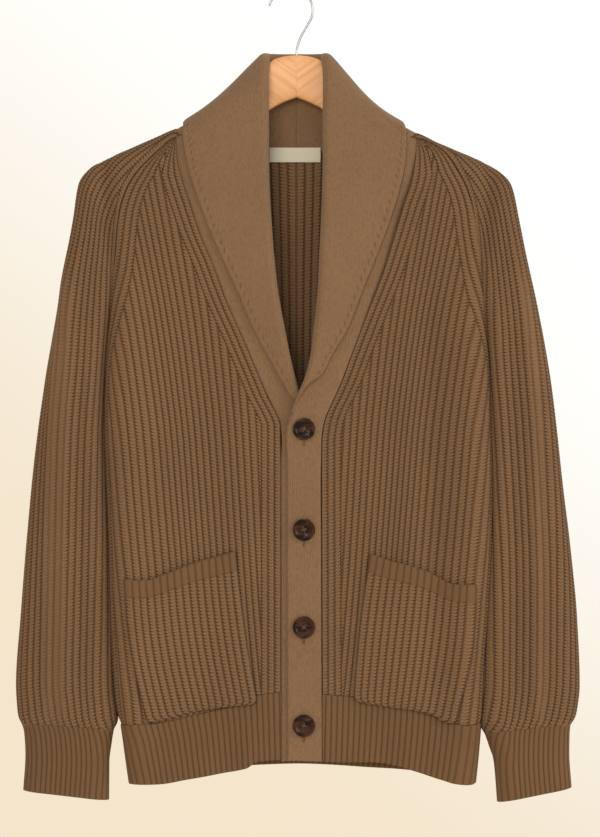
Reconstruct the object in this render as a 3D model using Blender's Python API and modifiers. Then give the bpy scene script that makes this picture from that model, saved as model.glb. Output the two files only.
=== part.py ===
"""A chunky ribbed cardigan with a shawl collar, hanging on a wooden hanger.

The front faces -Y and the wearer's left side is at +X. The tables are in millimetres, in the
garment's own frame: x outward from the middle, y away from the viewer, drop below the rail.
"""
import math
from collections import namedtuple

import bmesh
import bpy
from mathutils import Matrix, Vector

MM = 0.001
LEFT, RIGHT = 1, -1                 # the wearer's sides, as the sign of X
FRONT, BACK = -1, 1                 # the sign of Y
HOOK_TO_MIDDLE = 5.9                # the garment's middle hangs this far beside the hook's seat

# Cloth
GAP = 0.3                           # between pieces at a seam
CLOTH = 2.4                         # wall of the chunky panels, without their ribs
BAND_CLOTH = 2.8                    # wall of the collar and the button bands
RIB_PITCH = 7.0
RIB_RISE = 1.2
WELT_PITCH = 5.2
WELT_RISE = 0.9
EDGE_RIBS = 3                       # ribs that run beside the neckline and the raglan seams
SIDE_CORNER = 22.0                  # how far the body rounds off at its sides
FOLD_CORNER = 18.0                  # the same at a sleeve's folds
CORNER_SHARE = 0.45                 # the most of a sleeve's width that one corner takes
PLAIN_STEP = 6                      # ribbed columns for each column of the plain inside
SEAM_GAP = 0.9                      # beside a curved seam, where two pieces follow the line in steps

# Buttons
BUTTON_X = 7.6
BUTTON_DROPS = (463.0, 568.0, 670.0, 773.0)
BUTTON_RADIUS = 11.6
BUTTON_THICK = 3.6
BUTTON_STAND = 1.0
BUTTON_SIDES = 16
BUTTON_PROFILE = ((0, 0.62), (0.55, 0.62), (0.72, 0.92), (0.86, 1.0), (1.0, 0.62), (0.9, 0.06), (0, 0.0))

# Label
LABEL_SIZE = (54.0, 0.8, 15.5)
LABEL_DROP = 173.0
LABEL_X = -1.7
LABEL_OFF = 1.4                     # from the back's inner face to the label's middle

# Hanger
WIRE_RADIUS = 1.2
LOOP_RADIUS = 23.0
LOOP_END = 168.0                    # degrees round from +X, where the wire's tip is
ARM_HALF = 6.5                      # half the wood's thickness
ARM_UNDER_CLOTH = 7.2
MITRE_GAP = 0.2
BORE_DEPTH = 22.0
BORE_SLACK = 0.35
HOOK_START = -18.0                  # degrees round from +X, where the stem runs into the loop
HOOK_STEM = ((0.6, 62), (4.0, 51), (10.0, 40))
HOOK_STEPS = 14

# Half the garment's thickness, front to back: (drop, half depth)
BODY_DEPTH = ((69, 14), (140, 15), (200, 19), (280, 23), (420, 25), (580, 24), (740, 21), (835, 19))
SLEEVE_DEPTH = ((140, 15), (200, 19), (280, 23), (420, 25), (580, 22), (700, 18), (775, 15), (855, 14))

# Where the body ends: along the raglan seam down to the underarm, then down the side seam.
UNDERARM = 422.0
TURN_START = 245.0                  # below this the seam moves round from the front to the side
REACH = {
    LEFT: ((158, 127), (163, 141), (174, 156), (189, 166.3), (212, 178), (235, 184.2), (260, 187.3),
           (298, 192), (346, 196.8), (401, 202), (459, 204), (520, 205), (580, 204), (643, 200.5),
           (701, 195), (747, 192), (775, 190), (808, 187), (835, 184)),
    RIGHT: ((157, 128.7), (174, 147.6), (193, 166.5), (212, 178), (237, 185.4), (260, 188), (296, 191),
            (346, 196), (401, 201), (459, 202.5), (520, 200.5), (580, 198), (643, 196.5), (701, 193),
            (747, 189), (775, 183), (808, 178), (835, 174)),
}

# The neckline and, below it, the edge of the band: (drop, x)
NECKLINE = {
    LEFT: ((155, 122), (160, 123.3), (176, 123.3), (203, 120), (229, 111.7), (264, 101.2), (298, 90.7),
           (345, 72.5), (391, 55), (411, 47.7), (430, 39.3), (448, 30.9), (462, 27.2), (480, 25.5),
           (835, 26.5)),
    RIGHT: ((155, 125.6), (176, 123.5), (203, 118.8), (229, 110.9), (260, 100.4), (290, 87.8), (327, 74.1),
            (370, 55.2), (410, 38.4), (430, 30), (447, 21), (460, 16.4), (835, 16.2)),
}
# The line where the collar rolls over and, below it, the band's free edge
ROLL_LINE = {
    LEFT: ((69, 27.2), (198, 27.2), (239, 25.6), (279, 23.5), (330, 21), (363, 16.9), (398, 12), (418, 4.6),
           (440, -4), (462, -10), (835, -9.5)),
    RIGHT: ((69, 29), (198, 28.5), (239, 26.3), (291, 22.3), (330, 17.4), (363, 11.1), (394, 4.8),
            (422, -2.5), (442, -9), (470, -19.4), (835, -19.4)),
}
# The outer edge of the part that is turned over
FALL_EDGE = {
    LEFT: ((140, 115), (163, 114.9), (187, 113.3), (211, 108), (234, 101.2), (258, 92.8), (285, 82.3),
           (316, 69.7), (359, 52.9), (385, 37.2), (405, 26.7), (412, 19.3), (421, 8)),
    RIGHT: ((140, 118.7), (155, 117), (176, 114), (205, 108.8), (229, 100.4), (251, 91.9), (277, 81.4),
            (303, 68.9), (324, 59.4), (352, 47.9), (376, 35.3), (405, 19.5), (431, 3.8)),
}
# How far the band's middle surface lies behind the panels' face, at its seam and at its roll
SEAM_SET = {LEFT: ((330, 1.4), (430, -0.8)), RIGHT: ((330, 1.4), (430, 2.5))}
ROLL_SET = {
    LEFT: ((200, 0.4), (330, 0.0), (400, -3.4), (422, -5.2), (446, -5.2), (490, -0.8)),
    RIGHT: ((200, 0.4), (330, 1.4), (400, 2.5)),
}

# The collar from the centre back to the front of the shoulder, mirrored on the other side
Nape = namedtuple("Nape", "seam_x seam_y seam_drop roll_x roll_y roll_drop fall_x fall_y fall_drop sag")
NAPE = (
    Nape(0.2, 15.5, 171, 0.2, 15.5, 67.4, 0.2, 24.0, 179, 0.0),
    Nape(50, 15.5, 169, 17, 15.5, 67.4, 48, 23.6, 175, 0.5),
    Nape(97, 15.0, 162, 27.4, 12.0, 67.6, 106, 23.0, 166, 2.0),
    Nape(113, 8.0, 150, 30.4, 4.5, 68.8, 120, 21.5, 149, 3.5),
    Nape(114.2, -3.0, 145, 30.6, -5.0, 72, 121.4, 2.0, 136.2, 3.5),
    Nape(118, -12.0, 150.5, 30.5, -14.5, 85, 120.5, -19.5, 144.5, 2.5),
)
# The collar down the front: the drops where each section meets its three lines
Lapel = namedtuple("Lapel", "seam roll fall")
LAPEL = {
    LEFT: (Lapel(156, 105, 150), Lapel(168, 130, 164), Lapel(184, 158, 181), Lapel(206, 188, 203),
           Lapel(234, 219, 232), Lapel(264, 252, 261), Lapel(296, 287, 293), Lapel(330, 323, 327),
           Lapel(363, 358, 360), Lapel(392, 388, 387), Lapel(415, 410, 406), Lapel(434, 425, 421)),
    RIGHT: (Lapel(156, 105, 150), Lapel(168, 130, 164), Lapel(184, 158, 181), Lapel(206, 188, 203),
            Lapel(234, 219, 232), Lapel(264, 252, 261), Lapel(296, 287, 293), Lapel(330, 323, 327),
            Lapel(363, 358, 360), Lapel(395, 390, 391), Lapel(420, 415, 414), Lapel(440, 434, 431)),
}
ROLL_RADIUS = 4.2
ROLL_SHARE = 0.2                    # of the turned-over width, where that is narrow
ROLL_LEAST = 1.75

# The drops where the sleeves and the body share a row down the raglan seam and just below it
SEAM_LEVELS = (158, 168, 180, 196, 214, 236, 262, 292, 326, 364, 401, 430, 460)
# A sleeve's sections: the outer fold beside each row, and the distance kept from the body
Ring = namedtuple("Ring", "seam_drop fold_x fold_drop clear")
SLEEVE_HEAD = {
    LEFT: ((118.5, 142.3), (147, 161.5), (168, 171), (184, 177.5), (200, 185), (213.6, 193.5), (225, 208),
           (232, 241), (241, 286), (252, 338), (260.3, 383), (266, 417), (270.8, 453)),
    RIGHT: ((119.3, 142), (146, 156), (166, 164.8), (184, 172.5), (201, 180.5), (216, 188.5), (229, 206),
            (234.6, 243), (243, 290), (251.5, 340), (259, 383), (264.7, 417), (270, 453)),
}
HEAD_CLEAR = (0.9, 0.9, 0.9, 0.9, 0.9, 0.9, 0.9, 0.9, 1.0, 1.5, 2.5, 3.0, 3.2)
SLEEVE_TUBE = {
    LEFT: (Ring(520, 278, 516, 3.4), Ring(585, 286.4, 582, 3.4), Ring(660, 294, 658, 3.4),
           Ring(735, 297, 732, 3.4), Ring(768, 294, 760, 4.8), Ring(784, 290, 775, 8.5)),
    RIGHT: (Ring(520, 277.5, 516, 3.4), Ring(585, 283.6, 582, 3.4), Ring(660, 289.5, 658, 3.4),
            Ring(735, 294.6, 732, 3.4), Ring(765, 293, 760, 4.6), Ring(780, 290.5, 775, 8.5)),
}
SLEEVE = {side: tuple(Ring(level, *fold, clear)
                      for level, fold, clear in zip(SEAM_LEVELS, SLEEVE_HEAD[side], HEAD_CLEAR)) + tube
          for side, tube in SLEEVE_TUBE.items()}
# A cuff's sections: both edges, as x and drop
Band = namedtuple("Band", "inner_x inner_drop outer_x outer_drop")
CUFF = {
    LEFT: (Band(199.0, 784.6, 289.2, 775.8), Band(210.0, 812, 286.6, 803), Band(213.5, 854, 289, 840)),
    RIGHT: (Band(192.0, 780.6, 289.9, 775.6), Band(198.2, 812, 285.2, 805), Band(198.6, 852.5, 287.5, 843)),
}

# The hem's lower edge, across from the wearer's right to the left: (signed x, drop)
HEM_EDGE = {
    FRONT: ((-174, 835), (-147, 835), (-117, 826), (-62, 820), (-42, 809), (0, 809), (45, 812), (78, 812),
            (104, 815), (122, 820), (150, 829), (175, 835), (186, 833)),
    BACK: ((-176, 834), (-90, 822), (0, 818), (90, 822), (186, 832)),
}
HEM_HEIGHT = 72.0                   # at the middle
HEM_LOSS = 10.0                     # what the hem loses in height towards the sides
HEM_LEVEL = 643.0                   # above this the rows of the panels are level
HEM_REACH = 185.0                   # where the sides are, for that loss
HEM_MIDDLE = 100.0                  # where a panel's lowest rows take their width
HEM_TOP, HEM_LOW = 750.0, 835.0     # the drops between which a hem takes its width
BACK_NECK_DROP = 158.5              # the back's neck edge at the raglan seams
BACK_NECK_REACH = 127.0
BACK_NECK_SAG = 13.0                # how far that edge dips at the middle

FRONT_LEVELS = SEAM_LEVELS + (500, HEM_LEVEL)
BACK_LEVELS = (158, 168, 180, 214, 262, 326, 401, 460, HEM_LEVEL)
PLACKET_LEVELS = (462, 500, 580, 643, 700, 755)
PLACKET_TOP = (14.0, 18.0)          # from a band's first row to its second, at its seam and its edge

# Patch pockets, corners as (x outward, drop)
Pocket = namedtuple("Pocket", "top_in top_out low_in low_out")
POCKET = {
    LEFT: Pocket((78, 593), (183, 625), (61.3, 752), (163, 773)),
    RIGHT: Pocket((62.6, 590), (177, 619), (40.5, 750), (159, 766.5)),
}
WELT_SHARE = 0.12                   # of the pocket's height
POCKET_LIFT = 4.3                   # its face over the panel's face
POCKET_GAPE = 1.6                   # how far the mouth stands off at its middle
POCKET_ROUND = 7.0                  # the lower corners
POCKET_SEAM = 0.0025                # between welt and pocket, as a share of the height

# Large soft folds: x outward at the top and at the low end, half width, and swell outward
Fold = namedtuple("Fold", "face side x_top top x_low low width swell")
FOLDS = (
    Fold(FRONT, RIGHT, 236, 285, 240, 775, 8, -3.0),
    Fold(FRONT, LEFT, 240, 300, 262, 775, 8, -3.0),
    Fold(FRONT, RIGHT, 252, 420, 266, 790, 9, 1.8),
    Fold(FRONT, LEFT, 228, 360, 232, 790, 9, 1.8),
    Fold(FRONT, RIGHT, 52, 745, 48, 850, 10, 3.2),
    Fold(FRONT, RIGHT, 76, 745, 78, 850, 12, -2.2),
    Fold(FRONT, LEFT, 118, 750, 116, 850, 12, 2.6),
    Fold(FRONT, LEFT, 90, 750, 88, 850, 12, -2.0),
    Fold(BACK, RIGHT, 70, 320, 82, 840, 24, -3.2),
    Fold(BACK, LEFT, 86, 380, 74, 840, 26, -3.4),
    Fold(BACK, LEFT, 10, 450, 4, 840, 22, 2.4),
    Fold(BACK, RIGHT, 238, 300, 246, 775, 9, -3.0),
    Fold(BACK, LEFT, 236, 330, 254, 775, 10, -2.8),
)
FOLD_FADE = 70.0

# The wooden arm from the mitre to the tip: (x, top, height); past the collar it follows the shoulder
ARM = ((MITRE_GAP, 69.3, 44.5), (14, 71.8, 47.5), (29, 81, 46), (45, 100, 41), (60, 118, 35),
       (80, 136, 30), (100, 150, 27))
ARM_OUTER = ((126, 25), (154, 23), (180, 20), (198, 17), (208, 14))
# Its section, as shares of the half thickness and of the height
ARM_SECTION = ((-0.5, 0), (0.5, 0), (1, 0.12), (1, 0.88), (0.5, 1), (-0.5, 1), (-1, 0.88), (-1, 0.12))

TAUPE = (0.216, 0.120, 0.061)
TAUPE_BAND = (0.250, 0.147, 0.080)
HORN = (0.020, 0.011, 0.008)
BEECH = (0.79, 0.39, 0.17)
STEEL = (0.62, 0.61, 0.59)
CREAM = (0.76, 0.72, 0.63)


# ---------------------------------------------------------------- curves and places

def step_slope(rows, index):
    """Slope of the straight line from one row to the next."""
    index = min(max(index, 0), len(rows) - 2)
    (start, low), (stop, high) = rows[index], rows[index + 1]
    return (high - low) / (stop - start)


def slope_at(rows, index):
    """Slope of a smooth curve at one of its rows, level where the rows turn back."""
    before, after = step_slope(rows, index - 1), step_slope(rows, index)
    return 2 * before * after / (before + after) if before * after > 0 else 0.0


def curve_at(rows, key):
    """Value of the smooth curve through (key, value) rows, held past both ends."""
    if key <= rows[0][0]:
        return rows[0][1]
    if key >= rows[-1][0]:
        return rows[-1][1]
    index = max(i for i, row in enumerate(rows) if row[0] <= key)
    (start, low), (stop, high) = rows[index], rows[index + 1]
    span = stop - start
    t = (key - start) / span
    lead, tail = slope_at(rows, index) * span, slope_at(rows, index + 1) * span
    return (low * (2 * t**3 - 3 * t**2 + 1) + lead * (t**3 - 2 * t**2 + t)
            + high * (3 * t**2 - 2 * t**3) + tail * (t**3 - t**2))


def smooth_step(value):
    """Ease from 0 to 1."""
    value = min(max(value, 0.0), 1.0)
    return value * value * (3 - 2 * value)


def drape(face, x, drop):
    """How far the large folds move the cloth outward at a place; x is signed."""
    total = 0.0
    for fold in FOLDS:
        if fold.face != face:
            continue
        share = (drop - fold.top) / (fold.low - fold.top)
        centre = fold.side * (fold.x_top + (fold.x_low - fold.x_top) * share)
        fade = smooth_step((drop - fold.top) / FOLD_FADE)
        if fold.low < HEM_LOW:
            fade *= smooth_step((fold.low - drop) / FOLD_FADE)
        total += fold.swell * fade * math.exp(-((x - centre) / fold.width) ** 2)
    return total


def side_turn(drop):
    """Angle that the body's edge has turned from the front towards the side."""
    return smooth_step((drop - TURN_START) / (UNDERARM - TURN_START)) * math.pi / 2


def corner_rate(across, deep):
    """Length of an elliptic corner for each radian."""
    return math.sqrt((across**2 + deep**2) / 2)


def body_width(side, drop):
    """Flat distance from the middle to the body's edge."""
    turn = side_turn(drop)
    rate = corner_rate(SIDE_CORNER, curve_at(BODY_DEPTH, drop))
    return curve_at(REACH[side], drop) - SIDE_CORNER * math.sin(turn) + rate * turn


def body_point(side, face, along, drop):
    """Point and outward normal of the body's face, at a flat distance from the middle."""
    deep = curve_at(BODY_DEPTH, drop)
    turn = side_turn(drop)
    flat = curve_at(REACH[side], drop) - SIDE_CORNER * math.sin(turn)
    angle = min(max((along - flat) / corner_rate(SIDE_CORNER, deep), 0.0), turn)
    x = along if along <= flat else flat + SIDE_CORNER * math.sin(angle)
    normal = Vector((side * deep * math.sin(angle), face * SIDE_CORNER * math.cos(angle), 0)).normalized()
    point = Vector((side * x, face * deep * math.cos(angle), -drop))
    return point + normal * drape(face, side * x, drop), normal


def sleeve_inner(side, ring):
    """The sleeve's edge on the body's side, as x."""
    return curve_at(REACH[side], ring.seam_drop) + ring.clear


def tube_point(side, ring_inner, ring_outer, turn, along):
    """Point and normal of a flattened tube's section, measured from its outer fold.

    The front is at a positive distance along, and the section closes on the inner side by turn.
    """
    face = FRONT if along >= 0 else BACK
    chord = (ring_inner - ring_outer).length
    across = (ring_inner - ring_outer) / chord
    corner = min(FOLD_CORNER, CORNER_SHARE * chord)
    middle = ring_outer + across * (chord / 2)
    rate = corner_rate(corner, curve_at(SLEEVE_DEPTH, -middle.y))
    outer_arc = rate * math.pi / 2
    straight = chord - corner - corner * math.sin(turn)
    distance = abs(along)
    if distance < outer_arc:
        angle = distance / rate - math.pi / 2
        shift = corner * (1 + math.sin(angle))
    elif distance < outer_arc + straight:
        angle = 0.0
        shift = corner + distance - outer_arc
    else:
        angle = min((distance - outer_arc - straight) / rate, turn)
        shift = corner + straight + corner * math.sin(angle)
    spot = ring_outer + across * shift
    deep = curve_at(SLEEVE_DEPTH, -spot.y)
    slant = Vector((across.x, 0, across.y)) * (math.sin(angle) * deep)
    normal = (slant + Vector((0, face * corner * math.cos(angle), 0))).normalized()
    point = Vector((spot.x, face * deep * math.cos(angle), spot.y))
    return point + normal * drape(face, spot.x, -spot.y), normal


def tube_half(ring_inner, ring_outer, turn):
    """Flat distance from a tube's outer fold to where its section ends."""
    chord = (ring_inner - ring_outer).length
    corner = min(FOLD_CORNER, CORNER_SHARE * chord)
    middle = (ring_inner + ring_outer) / 2
    rate = corner_rate(corner, curve_at(SLEEVE_DEPTH, -middle.y))
    return rate * math.pi / 2 + chord - corner - corner * math.sin(turn) + rate * turn


# ---------------------------------------------------------------- cloth

Spot = namedtuple("Spot", "point normal rise")


def rib_row(low, high, pitch, rise, bands, lines):
    """Columns of a ribbed row between two edges, as (distance, rise).

    A few ribs run beside each edge, as bands gives for the two. The rest keep to fixed lines, half
    a pitch apart and numbered over the range in lines, and end where they meet the edge's ribs.
    """
    half = pitch / 2
    low_band, high_band = (2 * ribs for ribs in bands)
    step = min(half, (high - low) / (low_band + high_band + 2))
    first, last = low + low_band * step, high - high_band * step
    scale = rise * step / half
    row = [(low + i * step, scale * (i % 2)) for i in range(low_band + 1)]
    for line in range(lines[0], lines[1] + 1):
        place = line * half
        inside = first < place < last
        row.append((min(max(place, first), last), rise * (line % 2) if inside else 0.0))
    return row + [(high - i * step, scale * (i % 2)) for i in range(high_band, -1, -1)]


def line_range(low, high, pitch):
    """Fixed rib lines that fall between two distances, as half-pitch numbers."""
    half = pitch / 2
    return math.ceil(low / half), math.floor(high / half)


class Welder:
    """Collects faces and shares a vertex between faces that name the same place."""

    def __init__(self):
        self.mesh = bmesh.new()
        self.spots = {}

    def vertex(self, point):
        key = tuple(round(value * 1e4) for value in point)
        if key not in self.spots:
            self.spots[key] = self.mesh.verts.new(point * MM)
        return self.spots[key]

    def face(self, *points):
        corners = []
        for vertex in map(self.vertex, points):
            if vertex not in corners:
                corners.append(vertex)
        if len(corners) > 2:
            self.mesh.faces.new(corners)

    def finish(self, name, material):
        bmesh.ops.recalc_face_normals(self.mesh, faces=self.mesh.faces)
        data = bpy.data.meshes.new(name)
        self.mesh.to_mesh(data)
        self.mesh.free()
        return add_object(name, data, material)


def cloth(name, rows, thickness, material, step=PLAIN_STEP):
    """A wall of cloth: ribbed outside, and a plain inside with a column for every few outer ones."""
    outer = [[spot.point + spot.normal * spot.rise for spot in row] for row in rows]
    last = len(rows[0]) - 1
    stops = list(range(0, last, step)) + [last]
    inner = [[row[stop].point - row[stop].normal * thickness for stop in stops] for row in rows]
    welder = Welder()
    for upper, lower in zip(outer, outer[1:]):
        for column in range(last):
            welder.face(upper[column], upper[column + 1], lower[column + 1], lower[column])
    for upper, lower in zip(inner, inner[1:]):
        for column in range(len(stops) - 1):
            welder.face(upper[column], lower[column], lower[column + 1], upper[column + 1])
    for row in range(len(rows) - 1):
        for edge in (0, -1):
            welder.face(outer[row][edge], outer[row + 1][edge], inner[row + 1][edge], inner[row][edge])
    for edge in (0, -1):
        for index, (start, stop) in enumerate(zip(stops, stops[1:])):
            rim = outer[edge][start:stop + 1]
            welder.face(*rim, inner[edge][index + 1], inner[edge][index])
    return welder.finish(name, material)


def hem_edge(face, x):
    """Drop of the hem's lower edge at a signed x."""
    return curve_at(HEM_EDGE[face], x)


def hem_join(face, x):
    """Drop where the hem's rib is joined on."""
    return hem_edge(face, x) - HEM_HEIGHT + HEM_LOSS * abs(x) / HEM_REACH


def back_neck(x):
    """Drop of the back's neck edge."""
    return BACK_NECK_DROP + BACK_NECK_SAG * (1 - min(abs(x) / BACK_NECK_REACH, 1.0) ** 2)


def panel_rows(side, face, levels, inner_edge, top=None):
    """Rows of a ribbed panel from an inner edge out to the raglan and side seams."""
    widest = max(body_width(side, level) for level in levels)
    lines = line_range(min(inner_edge(level) for level in levels), widest, RIB_PITCH)
    bands = (EDGE_RIBS if face == FRONT else 0, EDGE_RIBS)
    rows = []
    for level, share in [(level, 0.0) for level in levels] + [(HEM_LEVEL, 0.5), (HEM_LEVEL, 1.0)]:
        middle = level + share * (hem_join(face, side * HEM_MIDDLE) - level)
        low, high = inner_edge(middle), body_width(side, middle) - GAP / 2
        row = []
        for along, rise in rib_row(low, high, RIB_PITCH, RIB_RISE, bands, lines):
            drop = level + share * (hem_join(face, side * along) - SEAM_GAP / 2 - level)
            if top:
                drop = max(drop, top(along))
            point, normal = body_point(side, face, along, drop)
            point.y += face * GAP / 2
            row.append(Spot(point, normal, rise))
        rows.append(row)
    return rows


def front_panel(side, name):
    """One front, from the neckline and band out to the raglan and side seams."""
    rows = panel_rows(side, FRONT, FRONT_LEVELS, lambda drop: curve_at(NECKLINE[side], drop) + SEAM_GAP)
    cloth(name, rows, CLOTH, "taupe_knit")


def back_panel():
    """The back, in one piece from side seam to side seam."""
    halves = [panel_rows(side, BACK, BACK_LEVELS, lambda drop: 0.0, back_neck) for side in (RIGHT, LEFT)]
    rows = [list(reversed(right)) + left[1:] for right, left in zip(*halves)]
    cloth("back", rows, CLOTH, "taupe_knit")


def hem_rows(side, face, inner):
    """Rows of a hem's rib, joined under a panel."""
    rows = []
    lines = line_range(inner, body_width(side, HEM_TOP), RIB_PITCH)
    for share in (0.0, 0.5, 1.0):
        outer = body_width(side, HEM_TOP + share * (HEM_LOW - HEM_TOP)) - GAP / 2
        row = []
        for along, rise in rib_row(inner, outer, RIB_PITCH, RIB_RISE, (0, 1), lines):
            join, edge = hem_join(face, side * along) + SEAM_GAP / 2, hem_edge(face, side * along)
            point, normal = body_point(side, face, along, join + share * (edge - join))
            point.y += face * GAP / 2
            row.append(Spot(point, normal, rise))
        rows.append(row)
    return rows


def hems():
    """The hem ribs of both fronts and the back."""
    for side, name in ((LEFT, "hem_front_left"), (RIGHT, "hem_front_right")):
        inner = curve_at(NECKLINE[side], HEM_LOW) + GAP
        cloth(name, hem_rows(side, FRONT, inner), CLOTH, "taupe_knit")
    right, left = hem_rows(RIGHT, BACK, 0.0), hem_rows(LEFT, BACK, 0.0)
    rows = [list(reversed(near)) + far[1:] for near, far in zip(right, left)]
    cloth("hem_back", rows, CLOTH, "taupe_knit")


def tube_rows(side, rings, pitch, rise, bands):
    """Rows of a flattened ribbed tube; rings gives (inner, outer, turn) for each."""
    widest = max(tube_half(*ring) for ring in rings)
    lines = line_range(-widest, widest, pitch)
    rows = []
    for inner, outer, turn in rings:
        half = tube_half(inner, outer, turn) - GAP / 2
        row = []
        for along, rise_here in rib_row(-half, half, pitch, rise, bands, lines):
            point, normal = tube_point(side, inner, outer, turn, along)
            row.append(Spot(point, normal, rise_here))
        rows.append(row)
    return rows


def sleeve(side, name):
    """A raglan sleeve, open towards the body above the underarm and a closed tube below it."""
    rings = []
    for ring in SLEEVE[side]:
        inner = Vector((side * sleeve_inner(side, ring), -ring.seam_drop))
        outer = Vector((side * ring.fold_x, -ring.fold_drop))
        rings.append((inner, outer, side_turn(ring.seam_drop)))
    cloth(name, tube_rows(side, rings, RIB_PITCH, RIB_RISE, (1, 1)), CLOTH, "taupe_knit")


def cuff(side, name):
    """A ribbed cuff under the sleeve."""
    rings = []
    for band in CUFF[side]:
        inner = Vector((side * band.inner_x, -band.inner_drop))
        outer = Vector((side * band.outer_x, -band.outer_drop))
        rings.append((inner, outer, math.pi / 2))
    cloth(name, tube_rows(side, rings, WELT_PITCH, WELT_RISE, (0, 0)), CLOTH, "taupe_knit")


# ---------------------------------------------------------------- collar and bands

def band_depth(side, drop, share):
    """Depth of the band's middle surface, from its seam (share 0) to its roll (share 1)."""
    setting = curve_at(SEAM_SET[side], drop) * (1 - share) + curve_at(ROLL_SET[side], drop) * share
    return -curve_at(BODY_DEPTH, drop) + setting


def lapel_points(side, lapel):
    """Seam, roll and fall points of a section of the collar on the front."""
    neck_x = curve_at(NECKLINE[side], lapel.seam)
    seam = Vector((side * neck_x, band_depth(side, lapel.seam, 0), -lapel.seam))
    roll_x = curve_at(ROLL_LINE[side], lapel.roll) + BAND_CLOTH / 2
    roll = Vector((side * roll_x, band_depth(side, lapel.roll, 1), -lapel.roll))
    fall_x = curve_at(FALL_EDGE[side], lapel.fall)
    seam_x = curve_at(NECKLINE[side], lapel.fall)
    share = (seam_x - fall_x) / max(seam_x - curve_at(ROLL_LINE[side], lapel.fall), 1.0)
    fall = Vector((side * fall_x, band_depth(side, lapel.fall, share) - BAND_CLOTH - 0.9, -lapel.fall))
    return seam, roll, fall


def collar_sections(side):
    """Seam, roll, fall and sag of every section, from the centre back to the front."""
    sections = []
    for nape in NAPE:
        sections.append((Vector((side * nape.seam_x, nape.seam_y, -nape.seam_drop)),
                         Vector((side * nape.roll_x, nape.roll_y, -nape.roll_drop)),
                         Vector((side * nape.fall_x, nape.fall_y, -nape.fall_drop)), nape.sag))
    for lapel in LAPEL[side]:
        sections.append((*lapel_points(side, lapel), 0.0))
    return sections


def collar(side, name):
    """Half the shawl collar: the stand from the neck seam, the roll, and the turned-over fall."""
    sections = collar_sections(side)
    rows = []
    for index, (seam, roll, fall, sag) in enumerate(sections):
        before, after = sections[max(index - 1, 0)], sections[min(index + 1, len(sections) - 1)]
        along = (after[1] - before[1]).normalized() + (after[0] - before[0]).normalized()
        along = along.normalized() if index else Vector((side, 0, 0))
        rise = roll - seam
        rise = (rise - along * rise.dot(along)).normalized()
        out = along.cross(rise) * -side
        on_front = index >= len(NAPE)
        radius = min(ROLL_RADIUS, max(ROLL_SHARE * (fall - roll).length, ROLL_LEAST))
        centre = roll - rise * radius + (out * radius if on_front else Vector())
        rows.append(collar_row(seam, fall, centre, rise * radius, out * radius, sag))
    cloth(name, rows, BAND_CLOTH, "taupe_band", step=1)


def collar_row(seam, fall, centre, rise, out, sag):
    """One section across the collar, as spots on its outer face."""
    inner_end, outer_start = centre - out, centre + out
    hollow = out.normalized() * -sag
    line = [seam.lerp(inner_end, share) + hollow * math.sin(math.pi * share) for share in (0, 0.33, 0.66)]
    line += [centre - out * math.cos(angle) + rise * math.sin(angle)
             for angle in (i * math.pi / 4 for i in range(5))]
    line += [outer_start.lerp(fall, share) + hollow * math.sin(math.pi * share)
             for share in (0.25, 0.5, 0.75, 1)]
    across = rise.cross(out)
    spots = []
    for index, point in enumerate(line):
        ahead = line[min(index + 1, len(line) - 1)] - line[max(index - 1, 0)]
        normal = ahead.cross(across).normalized()
        spots.append(Spot(point + normal * BAND_CLOTH / 2, normal, 0.0))
    return spots


def placket(side, name):
    """A button band under the collar, down to the hem's edge."""
    ends = LAPEL[side][-1]
    seam_top, edge_top = ends.seam + GAP * 2, ends.roll + GAP * 2
    low = hem_edge(FRONT, 0)
    levels = [(seam_top, edge_top), (seam_top + PLACKET_TOP[0], edge_top + PLACKET_TOP[1])]
    levels += [(level, level) for level in PLACKET_LEVELS] + [(low + 2, low + 1)]
    rows = []
    for seam_drop, edge_drop in levels:
        seam_x, edge_x = curve_at(NECKLINE[side], seam_drop), curve_at(ROLL_LINE[side], edge_drop)
        row = []
        for share in (0.0, 1 / 3, 2 / 3, 1.0):
            drop = seam_drop + (edge_drop - seam_drop) * share
            x = side * (seam_x + (edge_x - seam_x) * share)
            y = band_depth(side, drop, share) - BAND_CLOTH / 2 - drape(FRONT, x, drop)
            row.append(Spot(Vector((x, y, -drop)), Vector((0, FRONT, 0)), 0.0))
        rows.append(row)
    cloth(name, rows, BAND_CLOTH, "taupe_band", step=1)


# ---------------------------------------------------------------- pockets, buttons and label

def pocket_spot(side, across, down, gape):
    """Point and normal of a pocket's face at shares across and down it."""
    corners = POCKET[side]
    top = Vector(corners.top_in).lerp(Vector(corners.top_out), across)
    low = Vector(corners.low_in).lerp(Vector(corners.low_out), across)
    along, drop = top.lerp(low, down)
    point, normal = body_point(side, FRONT, along, drop)
    bulge = gape * math.sin(math.pi * across) * (1 - down) ** 3
    return point + normal * (POCKET_LIFT + bulge), normal


def pocket_rows(side, shares, pitch, rise):
    """Ribbed rows of a pocket between two shares of its height."""
    width = (Vector(POCKET[side].top_out) - Vector(POCKET[side].top_in)).length
    height = (Vector(POCKET[side].low_in) - Vector(POCKET[side].top_in)).length
    columns = 2 * round(width / pitch)
    rows = []
    for down in shares:
        past = max((down - 1) * height + POCKET_ROUND, 0) / POCKET_ROUND
        inset = POCKET_ROUND / width * (1 - math.sqrt(max(1 - past**2, 0)))
        row = []
        for column in range(columns + 1):
            across = inset + (1 - 2 * inset) * column / columns
            point, normal = pocket_spot(side, across, down, POCKET_GAPE)
            row.append(Spot(point, normal, rise * (column % 2)))
        rows.append(row)
    return rows


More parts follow.
